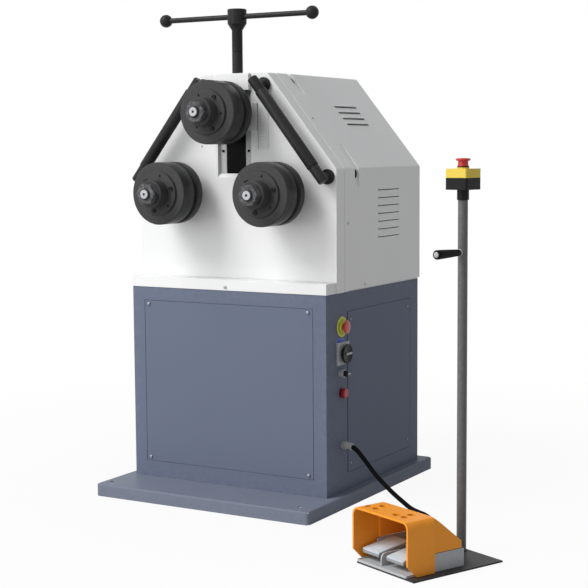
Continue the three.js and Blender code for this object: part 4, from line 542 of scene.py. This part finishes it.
def lathe(profile, centre=(0, 0, 0), axis="Z", sides=64, closed=False):
    """Turns (place on the axis, radius) pairs about an axis through centre, by spinning a drawn line."""
    along = {"X": Vector((1, 0, 0)), "Y": Vector((0, 1, 0)), "Z": Vector((0, 0, 1))}[axis]
    across = Vector((1, 0, 0)) if axis == "Z" else Vector((0, 0, 1))
    base = Vector(centre)
    points = [base + along * place + across * radius for place, radius in profile]
    piece = drawn_line(points + points[:1] if closed else points)
    bpy.ops.mesh.spin(steps=sides, angle=2 * math.pi, center=base, axis=along)
    return outward(settle(piece))


def rod(start, end, radius, centre=(0, 0, 0), axis="Z", sides=64):
    return lathe([(start, 0.0), (start, radius), (end, radius), (end, 0.0)], centre, axis, sides)


def drawn(points, low_y, high_y):
    """A body whose outline runs through the x and z of points, reaching along Y."""
    piece = drawn_line([Vector((point.x, low_y, point.z)) for point in points])
    bpy.ops.mesh.edge_face_add()
    bpy.ops.mesh.extrude_region_move(TRANSFORM_OT_translate={"value": (0, high_y - low_y, 0)})
    return outward(settle(piece))


def slab(low, high, radius=0.001, segments=2):
    """A plate or block between two corners, with its edges rounded."""
    low, high = Vector(low), Vector(high)
    clear_selection()
    bpy.ops.mesh.primitive_cube_add(size=1.0, location=(low + high) / 2)
    piece = bpy.context.object
    bpy.ops.object.mode_set(mode="EDIT")
    bpy.ops.transform.resize(value=high - low, center_override=(low + high) / 2)
    return rounded_edges(settle(piece), radius, segments)


def aimed(direction, spot):
    """The place of a piece made upright at the origin: its foot at spot, its Z along direction."""
    turn = Vector((0, 0, 1)).rotation_difference(Vector(direction)).to_matrix().to_4x4()
    return Matrix.Translation(spot) @ turn


def placed(piece, place):
    """Puts a piece made at the origin into its place."""
    piece.matrix_world = place @ piece.matrix_world
    return settle(piece)


def copied(piece, place):
    """A second piece with its own mesh, moved by place."""
    twin = piece.copy()
    twin.data = piece.data.copy()
    bpy.context.collection.objects.link(twin)
    return placed(twin, place)


def merged(pieces):
    """Joins loose pieces into the first one."""
    clear_selection()
    for piece in pieces:
        piece.select_set(True)
    bpy.context.view_layer.objects.active = pieces[0]
    if len(pieces) > 1:
        bpy.ops.object.join()
    return pieces[0]


def cut_by(piece, tool, operation="DIFFERENCE"):
    """Takes one piece out of another and removes the tool."""
    only(piece)
    step = piece.modifiers.new("cut", "BOOLEAN")
    step.operation = operation
    step.solver = "EXACT"
    step.object = tool
    bpy.ops.object.modifier_apply(modifier=step.name)
    bpy.data.objects.remove(tool, do_unlink=True)
    return piece


def carried(node):
    """A copy of a CAD node with its doubled points merged."""
    clear_selection()
    piece = bpy.data.objects.new(node + "_copy", NODES[node].data.copy())
    bpy.context.scene.collection.objects.link(piece)
    edit_all(piece)
    bpy.ops.mesh.remove_doubles(threshold=0.00001)
    bpy.ops.mesh.dissolve_limited(angle_limit=math.radians(0.5))
    bpy.ops.object.mode_set(mode="OBJECT")
    return piece


def dressed(node, surface, radius=0.0008, body="machine"):
    """A merged copy of a CAD node with its edges rounded, which stands for that node."""
    piece = rounded_edges(carried(node), radius, 2, 30.0)
    weigh = piece.modifiers.new("weigh", "WEIGHTED_NORMAL")
    weigh.keep_sharp = True
    bpy.ops.object.modifier_apply(modifier=weigh.name)
    return stand_in(piece, node, surface, body)


def parted(node, spot, facing, beyond, name, surface, body):
    """The part of a CAD node beyond a plane, or before it, as a piece of its own."""
    piece = carried(node)
    edit_all(piece)
    bpy.ops.mesh.bisect(
        plane_co=spot, plane_no=facing, use_fill=True, clear_inner=beyond, clear_outer=not beyond
    )
    rounded_edges(outward(piece), 0.0006, 2, 30.0)
    return finish_piece(piece, name, surface, body, (node,))


def pan_screw(centre, outward_axis, radius=0.005, height=0.0022):
    """A domed panel screw with a round dish."""
    profile = [
        (0.0, radius * 1.02), (height * 0.35, radius), (height * 0.8, radius * 0.72),
        (height, radius * 0.42), (height * 0.55, radius * 0.36), (height * 0.45, 0.0),
    ]
    return smoothed(placed(lathe(profile, sides=20), aimed(outward_axis, centre)))


def open_prism(centre, corners, radius, depth):
    """A tube of a few flat sides that runs back from centre, closed at its far end."""
    clear_selection()
    turn = (math.pi / 2, 0, 0)
    bpy.ops.mesh.primitive_circle_add(vertices=corners, radius=radius, location=centre, rotation=turn)
    piece = bpy.context.object
    edit_all(piece)
    bpy.ops.mesh.extrude_region_move(TRANSFORM_OT_translate={"value": (0, depth, 0)})
    bpy.ops.mesh.edge_face_add()
    return settle(piece)


def cap_screw(centre, radius=0.0062, height=0.0062):
    """A socket cap screw that faces the front, with its hexagon socket."""
    face = Vector(centre) - Vector((0, height, 0))
    screw = merged([open_prism(face, 24, radius, height), open_prism(face, 6, radius * 0.55, height * 0.6)])
    only(screw)
    bpy.ops.object.mode_set(mode="EDIT")
    bpy.ops.mesh.select_all(action="DESELECT")
    bpy.ops.object.mode_set(mode="OBJECT")
    for edge in screw.data.edges:
        ends = [screw.data.vertices[i].co for i in edge.vertices]
        edge.select = all(abs(end.y - face.y) < 1e-6 for end in ends)
    bpy.ops.object.mode_set(mode="EDIT")
    bpy.ops.mesh.bridge_edge_loops()
    return rounded_edges(outward(screw), radius * 0.09, 1, 40.0)


# The pieces.

class BENDER_OT_camera(bpy.types.Operator):
    """Places the camera at the photograph's viewpoint"""

    bl_idname = "bender.camera"
    bl_label = "Camera"

    def execute(self, context):
        turn, dip, roll = math.radians(30.04), math.radians(5.77), math.radians(-0.40)
        forward = Vector((-math.sin(turn) * math.cos(dip), math.cos(turn) * math.cos(dip), -math.sin(dip)))
        level = Vector((math.cos(turn), math.sin(turn), 0.0))
        upright = level.cross(forward)
        right = level * math.cos(roll) + upright * math.sin(roll)
        up = right.cross(forward)
        facing = Matrix((right, up, -forward)).transposed()
        clear_selection()
        bpy.ops.object.camera_add(location=(2.2873, -3.7989, 1.0425), rotation=facing.to_euler())
        camera = context.object
        camera.data.sensor_width = 36.0
        camera.data.lens = 87.43
        camera.data.clip_end = 60.0
        context.scene.camera = camera
        return {"FINISHED"}


class BENDER_OT_cable(bpy.types.Operator):
    """Lays the cable from the cabinet's gland to the pedal"""

    bl_idname = "bender.cable"
    bl_label = "Cable"

    def execute(self, context):
        radius = station_settings().cable_radius
        line = self.tube("cable", radius)
        line.resolution_u = 10
        spline = line.splines.new("BEZIER")
        spline.bezier_points.add(len(CABLE_ROUTE) - 1)
        for point, place in zip(spline.bezier_points, CABLE_ROUTE):
            point.co = place
            point.handle_left_type = point.handle_right_type = "AUTO"
        cable = bpy.data.objects.new("pedal_cable", line)
        context.scene.collection.objects.link(cable)
        context.view_layer.update()
        finish_piece(cable, "pedal_cable", "cable sheath", replaced=("cable",))

        relief = self.relief(context, CABLE_ROUTE[0:6], [1.62, 1.58, 1.52, 1.44, 1.34, 1.24], 0.019)
        finish_piece(relief, "cable_strain_relief", "silver")
        boot = self.relief(context, CABLE_ROUTE[:-6:-1], [1.35, 1.30, 1.24, 1.18, 1.12], 0.024)
        finish_piece(boot, "pedal_entry_boot", "black plastic")
        return {"FINISHED"}

    def tube(self, name, radius):
        """An empty curve that is round, with closed ends."""
        line = bpy.data.curves.new(name, "CURVE")
        line.dimensions = "3D"
        line.bevel_depth = radius
        line.bevel_resolution = 6
        line.use_fill_caps = True
        return line

    def relief(self, context, places, widths, reach):
        """A ribbed, tapered sleeve on the first stretch of the cable."""
        points = [Vector(place) for place in places]
        steps = 26
        walked = [0.0]
        for before, after in zip(points, points[1:]):
            walked.append(walked[-1] + (after - before).length)
        line = self.tube("sleeve", station_settings().cable_radius)
        spline = line.splines.new("POLY")
        spline.points.add(steps - 1)
        for i in range(steps):
            distance = reach * i / (steps - 1)
            k = max(j for j in range(len(walked) - 1) if walked[j] <= distance + 1e-9)
            share = (distance - walked[k]) / (walked[k + 1] - walked[k])
            place = points[k].lerp(points[k + 1], share)
            width = widths[k] + (widths[k + 1] - widths[k]) * share
            spline.points[i].co = (*place, 1.0)
            spline.points[i].radius = width if i % 4 < 2 else width * 0.93
        sleeve = bpy.data.objects.new("sleeve", line)
        context.scene.collection.objects.link(sleeve)
        only(sleeve)
        bpy.ops.object.convert(target="MESH")
        return smoothed(outward(context.object), 50.0)


class BENDER_OT_cabinet(bpy.types.Operator):
    """Finishes the plinth, the cabinet box, its panels and the skirt"""

    bl_idname = "bender.cabinet"
    bl_label = "Cabinet"

    def execute(self, context):
        radius = cabinet_settings().edge_radius * 0.7
        dressed("plinth_tray", "plinth paint", 0.0006)
        finish_piece(merged(self.corners()), "plinth_corners", "plinth paint")
        dressed("cabinet_shell", "cabinet paint", radius)
        for node in ("front_panel", "rear_panel", "side_panel_right", "side_panel_left"):
            dressed(node, "cabinet paint", 0.0005)
        dressed("base_ring", "housing paint", radius)
        screws = []
        for x in (-0.280, 0.280):
            for z in (0.100, 0.5765):
                screws.append(pan_screw((x, -0.2512, z), (0, -1, 0), 0.0042, 0.0020))
                screws.append(pan_screw((x, 0.3689, z), (0, 1, 0)))
        for y in (-0.0995, 0.289):
            for z in (0.115, 0.545):
                for side in (1, -1):
                    screws.append(pan_screw((side * 0.3403, y, z), (side, 0, 0), 0.0036, 0.0018))
        screws.append(pan_screw((0.0, -0.2521, 0.6378), (0, -1, 0)))
        finish_piece(merged(screws), "panel_screws", "silver")
        seam = slab((0.3384, -0.1186, 0.0905), (0.33995, -0.1168, 0.5685), 0.0002, 1)
        finish_piece(seam, "side_panel_seam", "black steel")
        return {"FINISHED"}

    def corners(self):
        """Quarter rings that close the plinth's corners from inside."""
        made = []
        corner_x, corner_y = PLINTH_CORNER
        sheet = [(0.0010, 0.0095), (0.0010, 0.0117), (0.0340, 0.0117), (0.0340, 0.0095)]
        for x in (-corner_x, corner_x):
            for y in (-corner_y, corner_y):
                ring = lathe(sheet, (x, y, 0), "Z", 48, True)
                low = (min(x, 1.2 * x), min(y, 1.2 * y), -0.01)
                high = (max(x, 1.2 * x), max(y, 1.2 * y), 0.05)
                made.append(cut_by(ring, slab(low, high, 0.0001, 1), "INTERSECT"))
        return made


class BENDER_OT_housing(bpy.types.Operator):
    """Finishes the upper housing: front plate, hood, slide guide and bridge block"""

    bl_idname = "bender.housing"
    bl_label = "Upper housing"

    def execute(self, context):
        dressed("front_plate", "housing paint", 0.0010)
        dressed("hood", "housing paint", 0.0006)
        dressed("bridge_block", "housing paint", 0.0012)
        dressed("slide_guide", "gib steel")
        dressed("slide_carriage", "black steel", body="carriage")
        for side in ("left", "right"):
            dressed(side + "_bearing_housing", "black steel", 0.0010)
        screws = []
        up_slope = 0.189
        for side in (-1, 1):
            x = side * (HOOD_HALF_WIDTH - up_slope * math.cos(SLOPE))
            z = 0.9873 + up_slope * math.sin(SLOPE)
            slant = (side * math.sin(SLOPE), 0, math.cos(SLOPE))
            screws.append(pan_screw((x, -0.1188, z), slant, 0.0042, 0.0018))
            for y, z in ((-0.1235, 0.8286), (-0.0168, 0.6422)):
                screws.append(pan_screw((side * 0.3455, y, z), (side, 0, 0), 0.0045, 0.0018))
        for x, z in ((0.1177, 1.0558), (-0.1147, 1.0540)):
            screws.append(pan_screw((x, -0.1919, z), (0, -1, 0), 0.0030, 0.0014))
        finish_piece(merged(screws), "hood_screws", "screw grey")
        lips = []
        for step in range(7):
            middle = LOUVRE_LOW_Z + LOUVRE_PITCH * step
            for x in (-0.3461, 0.3450):
                lips.append(slab((x, 0.0740, middle - 0.0034), (x + 0.0011, 0.2140, middle - 0.0001), 0.0004))
        finish_piece(merged(lips), "louvre_lips", "housing paint")
        for side in (-1, 1):
            floors, shades = self.lining(side)
            label = "right" if side > 0 else "left"
            finish_piece(merged(floors), label + "_recess_lining", "housing paint")
            # The black discs behind the holes are painted shade.
            finish_piece(merged(shades), label + "_recess_shade", "black steel")
        bolts = [cap_screw((x, -0.1809, z), 0.0040, 0.0035) for x in (-0.045, 0.045) for z in (1.040, 1.185)]
        finish_piece(merged(bolts), "guide_bolts", "black steel")
        return {"FINISHED"}

    def lining(self, side):
        """The shallow dished floors of the two lifting recesses on one side, each with its round hole, and a
        black disc behind each hole as painted shade.
        """
        run, rise = math.cos(SLOPE), math.sin(SLOPE)
        depth, skin = 0.006, 0.001
        bend = Vector((HOOD_HALF_WIDTH, 0, 0.9879))
        top = Vector((0.1176, 0, 1.2688))
        bend_turn = math.tan((math.pi / 2 - SLOPE) / 2)
        top_turn = math.tan(SLOPE / 2)

        def up(origin, distance, sunk):
            return origin + Vector((-distance * run - sunk * rise, 0, distance * rise - sunk * run))

        low_lines, high_lines = [], []
        for rim, sunk in ((0.0002, depth), (skin, depth + skin)):
            low_lines.append([
                bend + Vector((-rim, 0, -0.0620)),
                bend + Vector((-sunk, 0, -0.0320)),
                bend + Vector((-sunk, 0, -sunk * bend_turn)),
                up(bend, 0.0320, sunk),
                up(bend, 0.0915, rim),
            ])
            high_lines.append([
                up(top, -0.0835, rim),
                up(top, -0.0360, sunk),
                top + Vector((-sunk * top_turn, 0, -sunk)),
                top + Vector((-0.0595, 0, -rim)),
            ])
        holes = (
            (low_lines, bend + Vector((0, -0.067, -0.0170)), (1, 0, 0), 0.0128),
            (high_lines, up(top, -0.0240, 0) + Vector((0, -0.067, 0)), (rise, 0, run), 0.0115),
        )
        floors, shades = [], []
        for (outer, inner), spot, facing, radius in holes:
            floor = drawn([*outer, *reversed(inner)], -0.0799, -0.0541)
            place = aimed(facing, spot)
            floors.append(cut_by(floor, placed(rod(-0.02, 0.02, radius, sides=40), place)))
            # A black disc just behind the hole: painted shade that makes the hole look deep and dark.
            shades.append(placed(rod(-0.0100, -0.0088, radius + 0.0025, sides=32), place))
        if side < 0:
            for piece in floors + shades:
                mirrored(piece)
        return floors, shades


class BENDER_OT_rollers(bpy.types.Operator):
    """Turns the three roller sets with their shafts, flanges, screws and nuts"""

    bl_idname = "bender.rollers"
    bl_label = "Roller sets"

    def execute(self, context):
        sides = roller_settings().sides
        roller = rounded_edges(lathe(ROLLER_PROFILE, axis="Y", sides=sides, closed=True), 0.0006)
        flange = self.drilled(lathe(FLANGE_PROFILE, axis="Y", sides=sides, closed=True))
        rounded_edges(flange, 0.0005)
        nut = self.nut()
        for side, first, rear in (("left", 17.0, -0.028), ("right", 17.0, -0.028), ("upper", 55.0, -0.130)):
            centre, body, steel = ROLLER_CENTRES[side], side + "_rollers", "roller steel " + side
            place = Matrix.Translation(centre)
            turned = place @ Matrix.Rotation(math.radians(-first), 4, "Y")
            for model, where, made, node in (
                (roller, place, "_roller_finished", "_roller"),
                (flange, turned, "_flange_finished", "_clamp_flange"),
                (nut, place, "_nut_finished", "_nut"),
            ):
                finish_piece(copied(model, where), side + made, steel, body, (side + node,))
            screws = []
            for k in range(3):
                screws.append(cap_screw(centre + self.on_circle(first + 120.0 * k)))
            finish_piece(merged(screws), side + "_cap_screws", "gunmetal", body)
            shaft = rounded_edges(lathe(self.shaft_line(rear), centre, "Y"), 0.0004, 1)
            stand_in(shaft, side + "_shaft", steel, body)
            line = [(-0.4101, 0.0040), (-0.4101, 0.0126), (-0.4094, 0.0135), (-0.4090, 0.0040)]
            end = lathe(line, centre, "Y", 64, True)
            finish_piece(end, side + "_shaft_end", "silver", body)
        for piece in (roller, flange, nut):
            bpy.data.objects.remove(piece, do_unlink=True)
        return {"FINISHED"}

    def on_circle(self, degrees):
        """A spot on the flange's screw circle."""
        angle = math.radians(degrees)
        return Vector((SCREW_CIRCLE * math.cos(angle), FLANGE_FACE_Y, SCREW_CIRCLE * math.sin(angle)))

    def drilled(self, flange):
        """Drills the dowel and jacking holes between the cap screws."""
        for k in range(3):
            flange = cut_by(flange, rod(-0.004, 0.004, 0.0032, self.on_circle(60.0 + 120.0 * k), "Y", 20))
        return flange

    def nut(self):
        """A hexagon nut with its corners turned off."""
        half_flats, face_y = 0.0285, -0.403
        clear_selection()
        bpy.ops.mesh.primitive_circle_add(
            vertices=6,
            radius=half_flats / math.cos(math.pi / 6),
            fill_type="NGON",
            location=(0, face_y, 0),
            rotation=(math.pi / 2, 0, 0),
        )
        nut = bpy.context.object
        edit_all(nut)
        bpy.ops.transform.rotate(value=math.pi / 6, orient_axis="Y", center_override=(0, face_y, 0))
        bpy.ops.mesh.extrude_region_move(TRANSFORM_OT_translate={"value": (0, 0.021, 0)})
        outward(settle(nut))
        line = [(face_y, 0.0), (face_y, half_flats), (-0.3985, 0.0331), (-0.381, 0.0331), (-0.381, 0.0)]
        nut = cut_by(nut, lathe(line, axis="Y"), "INTERSECT")
        return rounded_edges(cut_by(nut, rod(-0.41, -0.37, 0.0164, axis="Y", sides=48)), 0.0004, 1)

    def shaft_line(self, rear):
        """The shaft from its rear end to the centre hole in front, with a few turns of thread."""
        line = [(rear, 0.0), (rear, 0.025), (-0.202, 0.025), (-0.202, 0.036), (-0.238, 0.036)]
        line += [(-0.238, 0.020), (-0.350, 0.020), (-0.350, SHAFT_RADIUS)]
        for k in range(4):
            line.append((-0.4018 - 0.0015 * k, SHAFT_RADIUS))
            line.append((-0.4025 - 0.0015 * k, 0.0152))
        line += [(-0.4085, SHAFT_RADIUS), (-0.410, 0.0145), (-0.410, 0.0032), (-0.4085, 0.0022)]
        return line + [(-0.404, 0.0020), (-0.404, 0.0)]


class BENDER_OT_screw(bpy.types.Operator):
    """Turns the screw spindle, its hub, the cross bar and the ball knobs"""

    bl_idname = "bender.screw"
    bl_label = "Screw and T-handle"

    def execute(self, context):
        spindle = lathe(SPINDLE_PROFILE, (0, SCREW_Y, 0))
        hole = rod(-0.04, 0.04, 0.0083, (0, SCREW_Y, BAR_Z), "X", 32)
        spindle = rounded_edges(cut_by(spindle, hole), 0.0005)
        stand_in(spindle, "screw_spindle", "gunmetal", "screw")
        line = [(-BALL_X - BALL_RADIUS, 0.0)]
        for k in range(1, 13):
            angle = math.radians(11.5 * k)
            line.append((-BALL_X - BALL_RADIUS * math.cos(angle), BALL_RADIUS * math.sin(angle)))
        line += [(-0.2385, 0.0108), (-0.2370, 0.0080)]
        line += [(-place, radius) for place, radius in reversed(line)]
        bar = smoothed(lathe(line, (0, SCREW_Y, BAR_Z), "X", 40), 35.0)
        stand_in(bar, "tommy_bar", "gunmetal", "screw")
        return {"FINISHED"}


class BENDER_OT_handles(bpy.types.Operator):
    """Turns the two tubular handles with their sleeves and posts"""

    bl_idname = "bender.handles"
    bl_label = "Side handles"

    def execute(self, context):
        top = Vector((0.0921, -0.238, 1.2497))
        low = Vector((0.3274, -0.238, 0.9512))
        reach = (low - top).length
        line = [
            (0.0, 0.0), (0.0, 0.0135), (0.0020, 0.0155), (0.0455, 0.0155),
            (0.0460, 0.0145), (0.0466, 0.0145), (0.0468, 0.01775),
            (reach - 0.0543, 0.01775), (reach - 0.0541, 0.0145), (reach - 0.0535, 0.0145),
            (reach - 0.0530, 0.0155), (reach - 0.0020, 0.0155), (reach, 0.0135), (reach, 0.0),
        ]
        post = [
            (-0.238, 0.0), (-0.238, 0.013), (-0.202, 0.013), (-0.2005, 0.0145),
            (-0.200, 0.022), (-0.192, 0.022), (-0.192, 0.0),
        ]
        pieces = [rounded_edges(placed(lathe(line, sides=48), aimed(low - top, top)), 0.0005)]
        for x, z in ((0.1057, 1.2324), (0.3169, 0.9645)):
            pieces.append(rounded_edges(lathe(post, (x, 0, z), "Y", 40), 0.0007))
        right = merged(pieces)
        left = mirrored(copied(right, Matrix.Identity(4)))
        stand_in(right, "handle_right", "gunmetal")
        stand_in(left, "handle_left", "gunmetal")
        return {"FINISHED"}


class BENDER_OT_scale(bpy.types.Operator):
    """Makes the scale plate with its ticks, and the pointer"""

    bl_idname = "bender.scale"
    bl_label = "Scale and pointer"

    def execute(self, context):
        plate = slab((0.084, -0.1935, 1.044), (0.120, -0.192, 1.180), 0.0004)
        stand_in(plate, "scale_plate", "scale plate")
        ticks = []
        lowest, pitch, thickness = 1.052, 0.005, 0.0005
        for k in range(23):
            z = lowest + pitch * k
            far = 0.094 if k % 2 else 0.099
            ticks.append(slab((0.0870, -0.1937, z), (far, -0.19345, z + thickness), 0.0001, 1))
        finish_piece(merged(ticks), "scale_ticks", "pole grey")
        edge = slab((0.0836, -0.1938, 1.0442), (0.0848, -0.1920, 1.1798), 0.0002, 1)
        finish_piece(edge, "scale_edge", "black steel")
        dressed("pointer", "scale plate", 0.0005, "carriage")
        return {"FINISHED"}


class BENDER_OT_switches(bpy.types.Operator):
    """Makes the emergency stop, main switch, selector, button and gland on the cabinet's side"""

    bl_idname = "bender.switches"
    bl_label = "Cabinet controls"

    def execute(self, context):
        dressed("stop_body", "legend yellow", 0.0005)
        head = smoothed(lathe(CABINET_STOP_PROFILE, STOP_AXIS, "X", 48))
        stand_in(head, "stop_head", "red plastic", "cabinet_stop")
        dressed("main_switch_body", "light plastic")
        knob = smoothed(lathe(SWITCH_KNOB_PROFILE, SWITCH_AXIS, "X"), 35.0)
        stand_in(knob, "main_switch_knob", "black plastic", "switch_knob")
        dressed("selector_body", "silver", 0.0006)
        dressed("selector_knob", "black plastic", 0.0006, "selector")
        dressed("button_body", "dark red plastic", 0.0003)
        dressed("button_cap", "crimson plastic", 0.0003, "button")
        dressed("cable_gland", "silver", 0.0005)
        line = [(0.3407, 0.0150), (0.3411, 0.0152), (0.3411, 0.0262), (0.3407, 0.0264)]
        field = lathe(line, STOP_AXIS, "X", 64, True)
        finish_piece(field, "stop_legend_field", "legend olive")
        tag = slab((0.3403, -0.1867, 0.4838), (0.3408, -0.1393, 0.4952), 0.0002)
        finish_piece(tag, "switch_tag", "blue tag")
        bar = slab((0.3578, -0.1600, 0.4462), (0.3602, -0.1275, 0.4526), 0.0006)
        finish_piece(bar, "switch_knob_bar", "light plastic", "switch_knob")
        tip = slab((0.3680, -0.1702, 0.3905), (0.3716, -0.1598, 0.3955), 0.0006)
        finish_piece(tip, "selector_tip", "silver", "selector")
        return {"FINISHED"}


class BENDER_OT_station(bpy.types.Operator):
    """Makes the station's floor plate, pole, grip and stop box"""

    bl_idname = "bender.station"
    bl_label = "Stop station"

    def execute(self, context):
        dressed("stand", "stand grey", 0.0006)
        line = [(0.0046, 0.0123), (0.0046, 0.01262), (0.9125, 0.01262), (0.9125, 0.0123)]
        skin = smoothed(lathe(line, STATION, closed=True))
        finish_piece(skin, "stand_pole", "pole grey")
        out = aimed((math.sin(GRIP_TURN), -math.cos(GRIP_TURN), 0), STATION + Vector((0, 0, GRIP_Z)))
        grip = rounded_edges(placed(lathe(GRIP_PROFILE, sides=48, closed=True), out), 0.0005)
        stand_in(grip, "pole_grip", "dark plastic", "grip")
        cap = smoothed(placed(lathe(GRIP_CAP_PROFILE, sides=48), out))
        finish_piece(cap, "pole_grip_cap", "silver", "grip")
        line = [(0.0122, 0.0044), (0.0122, 0.0088), (0.0130, 0.0094), (0.0152, 0.0094), (0.0152, 0.0044)]
        washer = rounded_edges(placed(lathe(line, sides=40, closed=True), out), 0.0003, 1)
        finish_piece(washer, "pole_grip_washer", "silver")
        dressed("stop_box_base", "black plastic")
        dressed("stop_box_lid", "yellow plastic", 0.0020)
        head = smoothed(lathe(STATION_STOP_PROFILE, STATION, "Z", 48))
        line = [(0.9915, 0.0142), (0.9915, 0.0154), (0.9972, 0.0152), (0.9984, 0.0148), (0.9984, 0.0142)]
        sleeve = smoothed(lathe(line, STATION, "Z", 48, True))
        finish_piece(sleeve, "station_stop_sleeve", "black plastic")
        stand_in(head, "station_stop_head", "red plastic", "station_stop")
        return {"FINISHED"}


class BENDER_OT_pedal(bpy.types.Operator):
    """Makes the double pedal: guard, base and treadles"""

    bl_idname = "bender.pedal"
    bl_label = "Pedal"

    def execute(self, context):
        dressed("pedal_guard", "orange plastic", 0.0012)
        dressed("pedal_base", "light plastic")
        climb = math.atan2(0.0155, 0.098)
        ahead = Vector((0.40674, 0.91355, 0))
        facing = Vector((0, 0, 1)) * math.cos(climb) - ahead * math.sin(climb)
        spot = STATION - ahead * 0.255 + Vector((0, 0, 0.031))
        for side in ("left", "right"):
            node, body = "treadle_" + side, side + "_treadle"
            parted(node, spot, facing, False, node + "_body", "grey plastic", body)
            parted(node, spot, facing, True, node + "_cover", "treadle top", body)
        turn = Matrix.Translation(STATION) @ Matrix.Rotation(STATION_TURN, 4, "Z")
        baffle = placed(slab((-0.0900, -0.2640, 0.1375), (0.0780, -0.2030, 0.1390), 0.0004, 1), turn)
        finish_piece(baffle, "vent_baffle", "grey plastic")
        strips = []
        for left, front, right in (
            (0.1024, -0.2052, 0.1034),
            (-0.0954, -0.2052, -0.0944),
            (-0.0954, -0.0868, 0.1034),
        ):
            strips.append(placed(slab((left, front, 0.0506), (right, -0.0858, 0.0524), 0.0002, 1), turn))
        finish_piece(merged(strips), "pedal_seam", "black steel")
        return {"FINISHED"}


class BENDER_OT_drive(bpy.types.Operator):
    """Gives the drive inside the housing its materials"""

    bl_idname = "bender.drive"
    bl_label = "Drive"

    def execute(self, context):
        for surface, nodes in (
            ("machined steel", ("mounting_plate", "electrical_plate")),
            ("machined steel", ("left_gear", "right_gear", "drive_pinion")),
            ("gearbox paint", ("gearbox",)),
            ("motor paint", ("motor",)),
        ):
            for node in nodes:
                materials = NODES[node].data.materials
                if len(materials) == 0:
                    materials.append(None)
                for place in NODES[node].material_slots:
                    place.material = material_for(surface)
        return {"FINISHED"}


class BENDER_OT_stage(bpy.types.Operator):
    """Sets the pale floor, the soft lamps and the white background"""

    bl_idname = "bender.stage"
    bl_label = "Stage"

    def execute(self, context):
        clear_selection()
        bpy.ops.mesh.primitive_plane_add(size=60.0, location=(0.2, 0.0, 0.0))
        floor = context.object
        floor.name = "floor"
        material, tree, into = blank_material("pale floor", 0.1)
        into["Base Color"].default_value = (0.55, 0.55, 0.55, 1.0)
        into["Roughness"].default_value = 0.9
        share = ranged(tree, length_of(tree, object_place(tree)), 0.93, 1.0, 0.6, 2.4)
        factor = reckoned(tree, "MULTIPLY", self.seen_directly(tree), share)
        white = added(tree, "Emission")
        shader = tree.nodes["Principled BSDF"]
        self.blend(tree, factor, shader, white, tree.nodes["Material Output"])
        floor.data.materials.append(material)
        settle(floor)

        world = bpy.data.worlds.new("soft room")
        context.scene.world = world
        world.use_nodes = True
        tree = world.node_tree
        soft = tree.nodes["Background"]
        soft.inputs["Color"].default_value = (0.97, 0.985, 1.0, 1.0)
        soft.inputs["Strength"].default_value = 0.38
        white = added(tree, "Background", Color=(1.0, 1.0, 1.0, 1.0), Strength=1.0)
        self.blend(tree, self.seen_directly(tree), soft, white, tree.nodes["World Output"])

        self.lamp(context, "key lamp", (-3.2, -4.55, 6.45), 4.0, 535.0)
        self.lamp(context, "front lamp", (-3.0, -6.3, 1.75), 4.5, 150.0)
        context.scene.view_settings.view_transform = "Standard"
        return {"FINISHED"}

    def blend(self, tree, factor, first, second, output):
        """Sends a mix of two shaders to the output."""
        mix = added(tree, "MixShader")
        for socket, value in zip(mix.inputs, (factor, first.outputs[0], second.outputs[0])):
            tree.links.new(value, socket)
        tree.links.new(mix.outputs[0], output.inputs["Surface"])

    def seen_directly(self, tree):
        """One for rays from the camera and for those that mirrors and glass send on, or else zero."""
        path = added(tree, "LightPath").outputs
        factor = path["Is Camera Ray"]
        for ray in ("Is Glossy Ray", "Is Transmission Ray"):
            factor = reckoned(tree, "MAXIMUM", factor, path[ray])
        return factor

    def lamp(self, context, name, place, size, power):
        """A square soft lamp aimed at the middle of the machine."""
        aim = Vector((0.15, -0.15, 0.7)) - Vector(place)
        clear_selection()
        turn = aim.to_track_quat("-Z", "Y").to_euler()
        bpy.ops.object.light_add(type="AREA", location=place, rotation=turn)
        lamp = context.object
        lamp.name = name
        lamp.data.size = size
        lamp.data.energy = power


class BENDER_PT_panel(bpy.types.Panel):
    bl_label = "Profile bender"
    bl_idname = "BENDER_PT_panel"
    bl_space_type = "VIEW_3D"
    bl_region_type = "UI"
    bl_category = "Bender"

    def draw(self, context):
        for settings in (cabinet_settings(), roller_settings(), station_settings()):
            box = self.layout.box()
            for name in settings.__annotations__:
                box.prop(settings, name)
        for operator in OPERATORS:
            self.layout.operator(operator.bl_idname)


SETTINGS = (CabinetSettings, RollerSettings, StationSettings)
OPERATORS = (
    BENDER_OT_camera,
    BENDER_OT_cable,
    BENDER_OT_cabinet,
    BENDER_OT_housing,
    BENDER_OT_rollers,
    BENDER_OT_screw,
    BENDER_OT_handles,
    BENDER_OT_scale,
    BENDER_OT_switches,
    BENDER_OT_station,
    BENDER_OT_pedal,
    BENDER_OT_drive,
    BENDER_OT_stage,
)


def register():
    for made in (*SETTINGS, *OPERATORS, BENDER_PT_panel):
        bpy.utils.register_class(made)
    bpy.types.Scene.bender_cabinet = PointerProperty(type=CabinetSettings)
    bpy.types.Scene.bender_rollers = PointerProperty(type=RollerSettings)
    bpy.types.Scene.bender_station = PointerProperty(type=StationSettings)


def unregister():
    del bpy.types.Scene.bender_cabinet
    del bpy.types.Scene.bender_rollers
    del bpy.types.Scene.bender_station
    for made in reversed((*SETTINGS, *OPERATORS, BENDER_PT_panel)):
        bpy.utils.unregister_class(made)


def main():
    register()
    for operator in OPERATORS:
        group, name = operator.bl_idname.split(".")
        getattr(getattr(bpy.ops, group), name)()


if __name__ == "__main__":
    main()
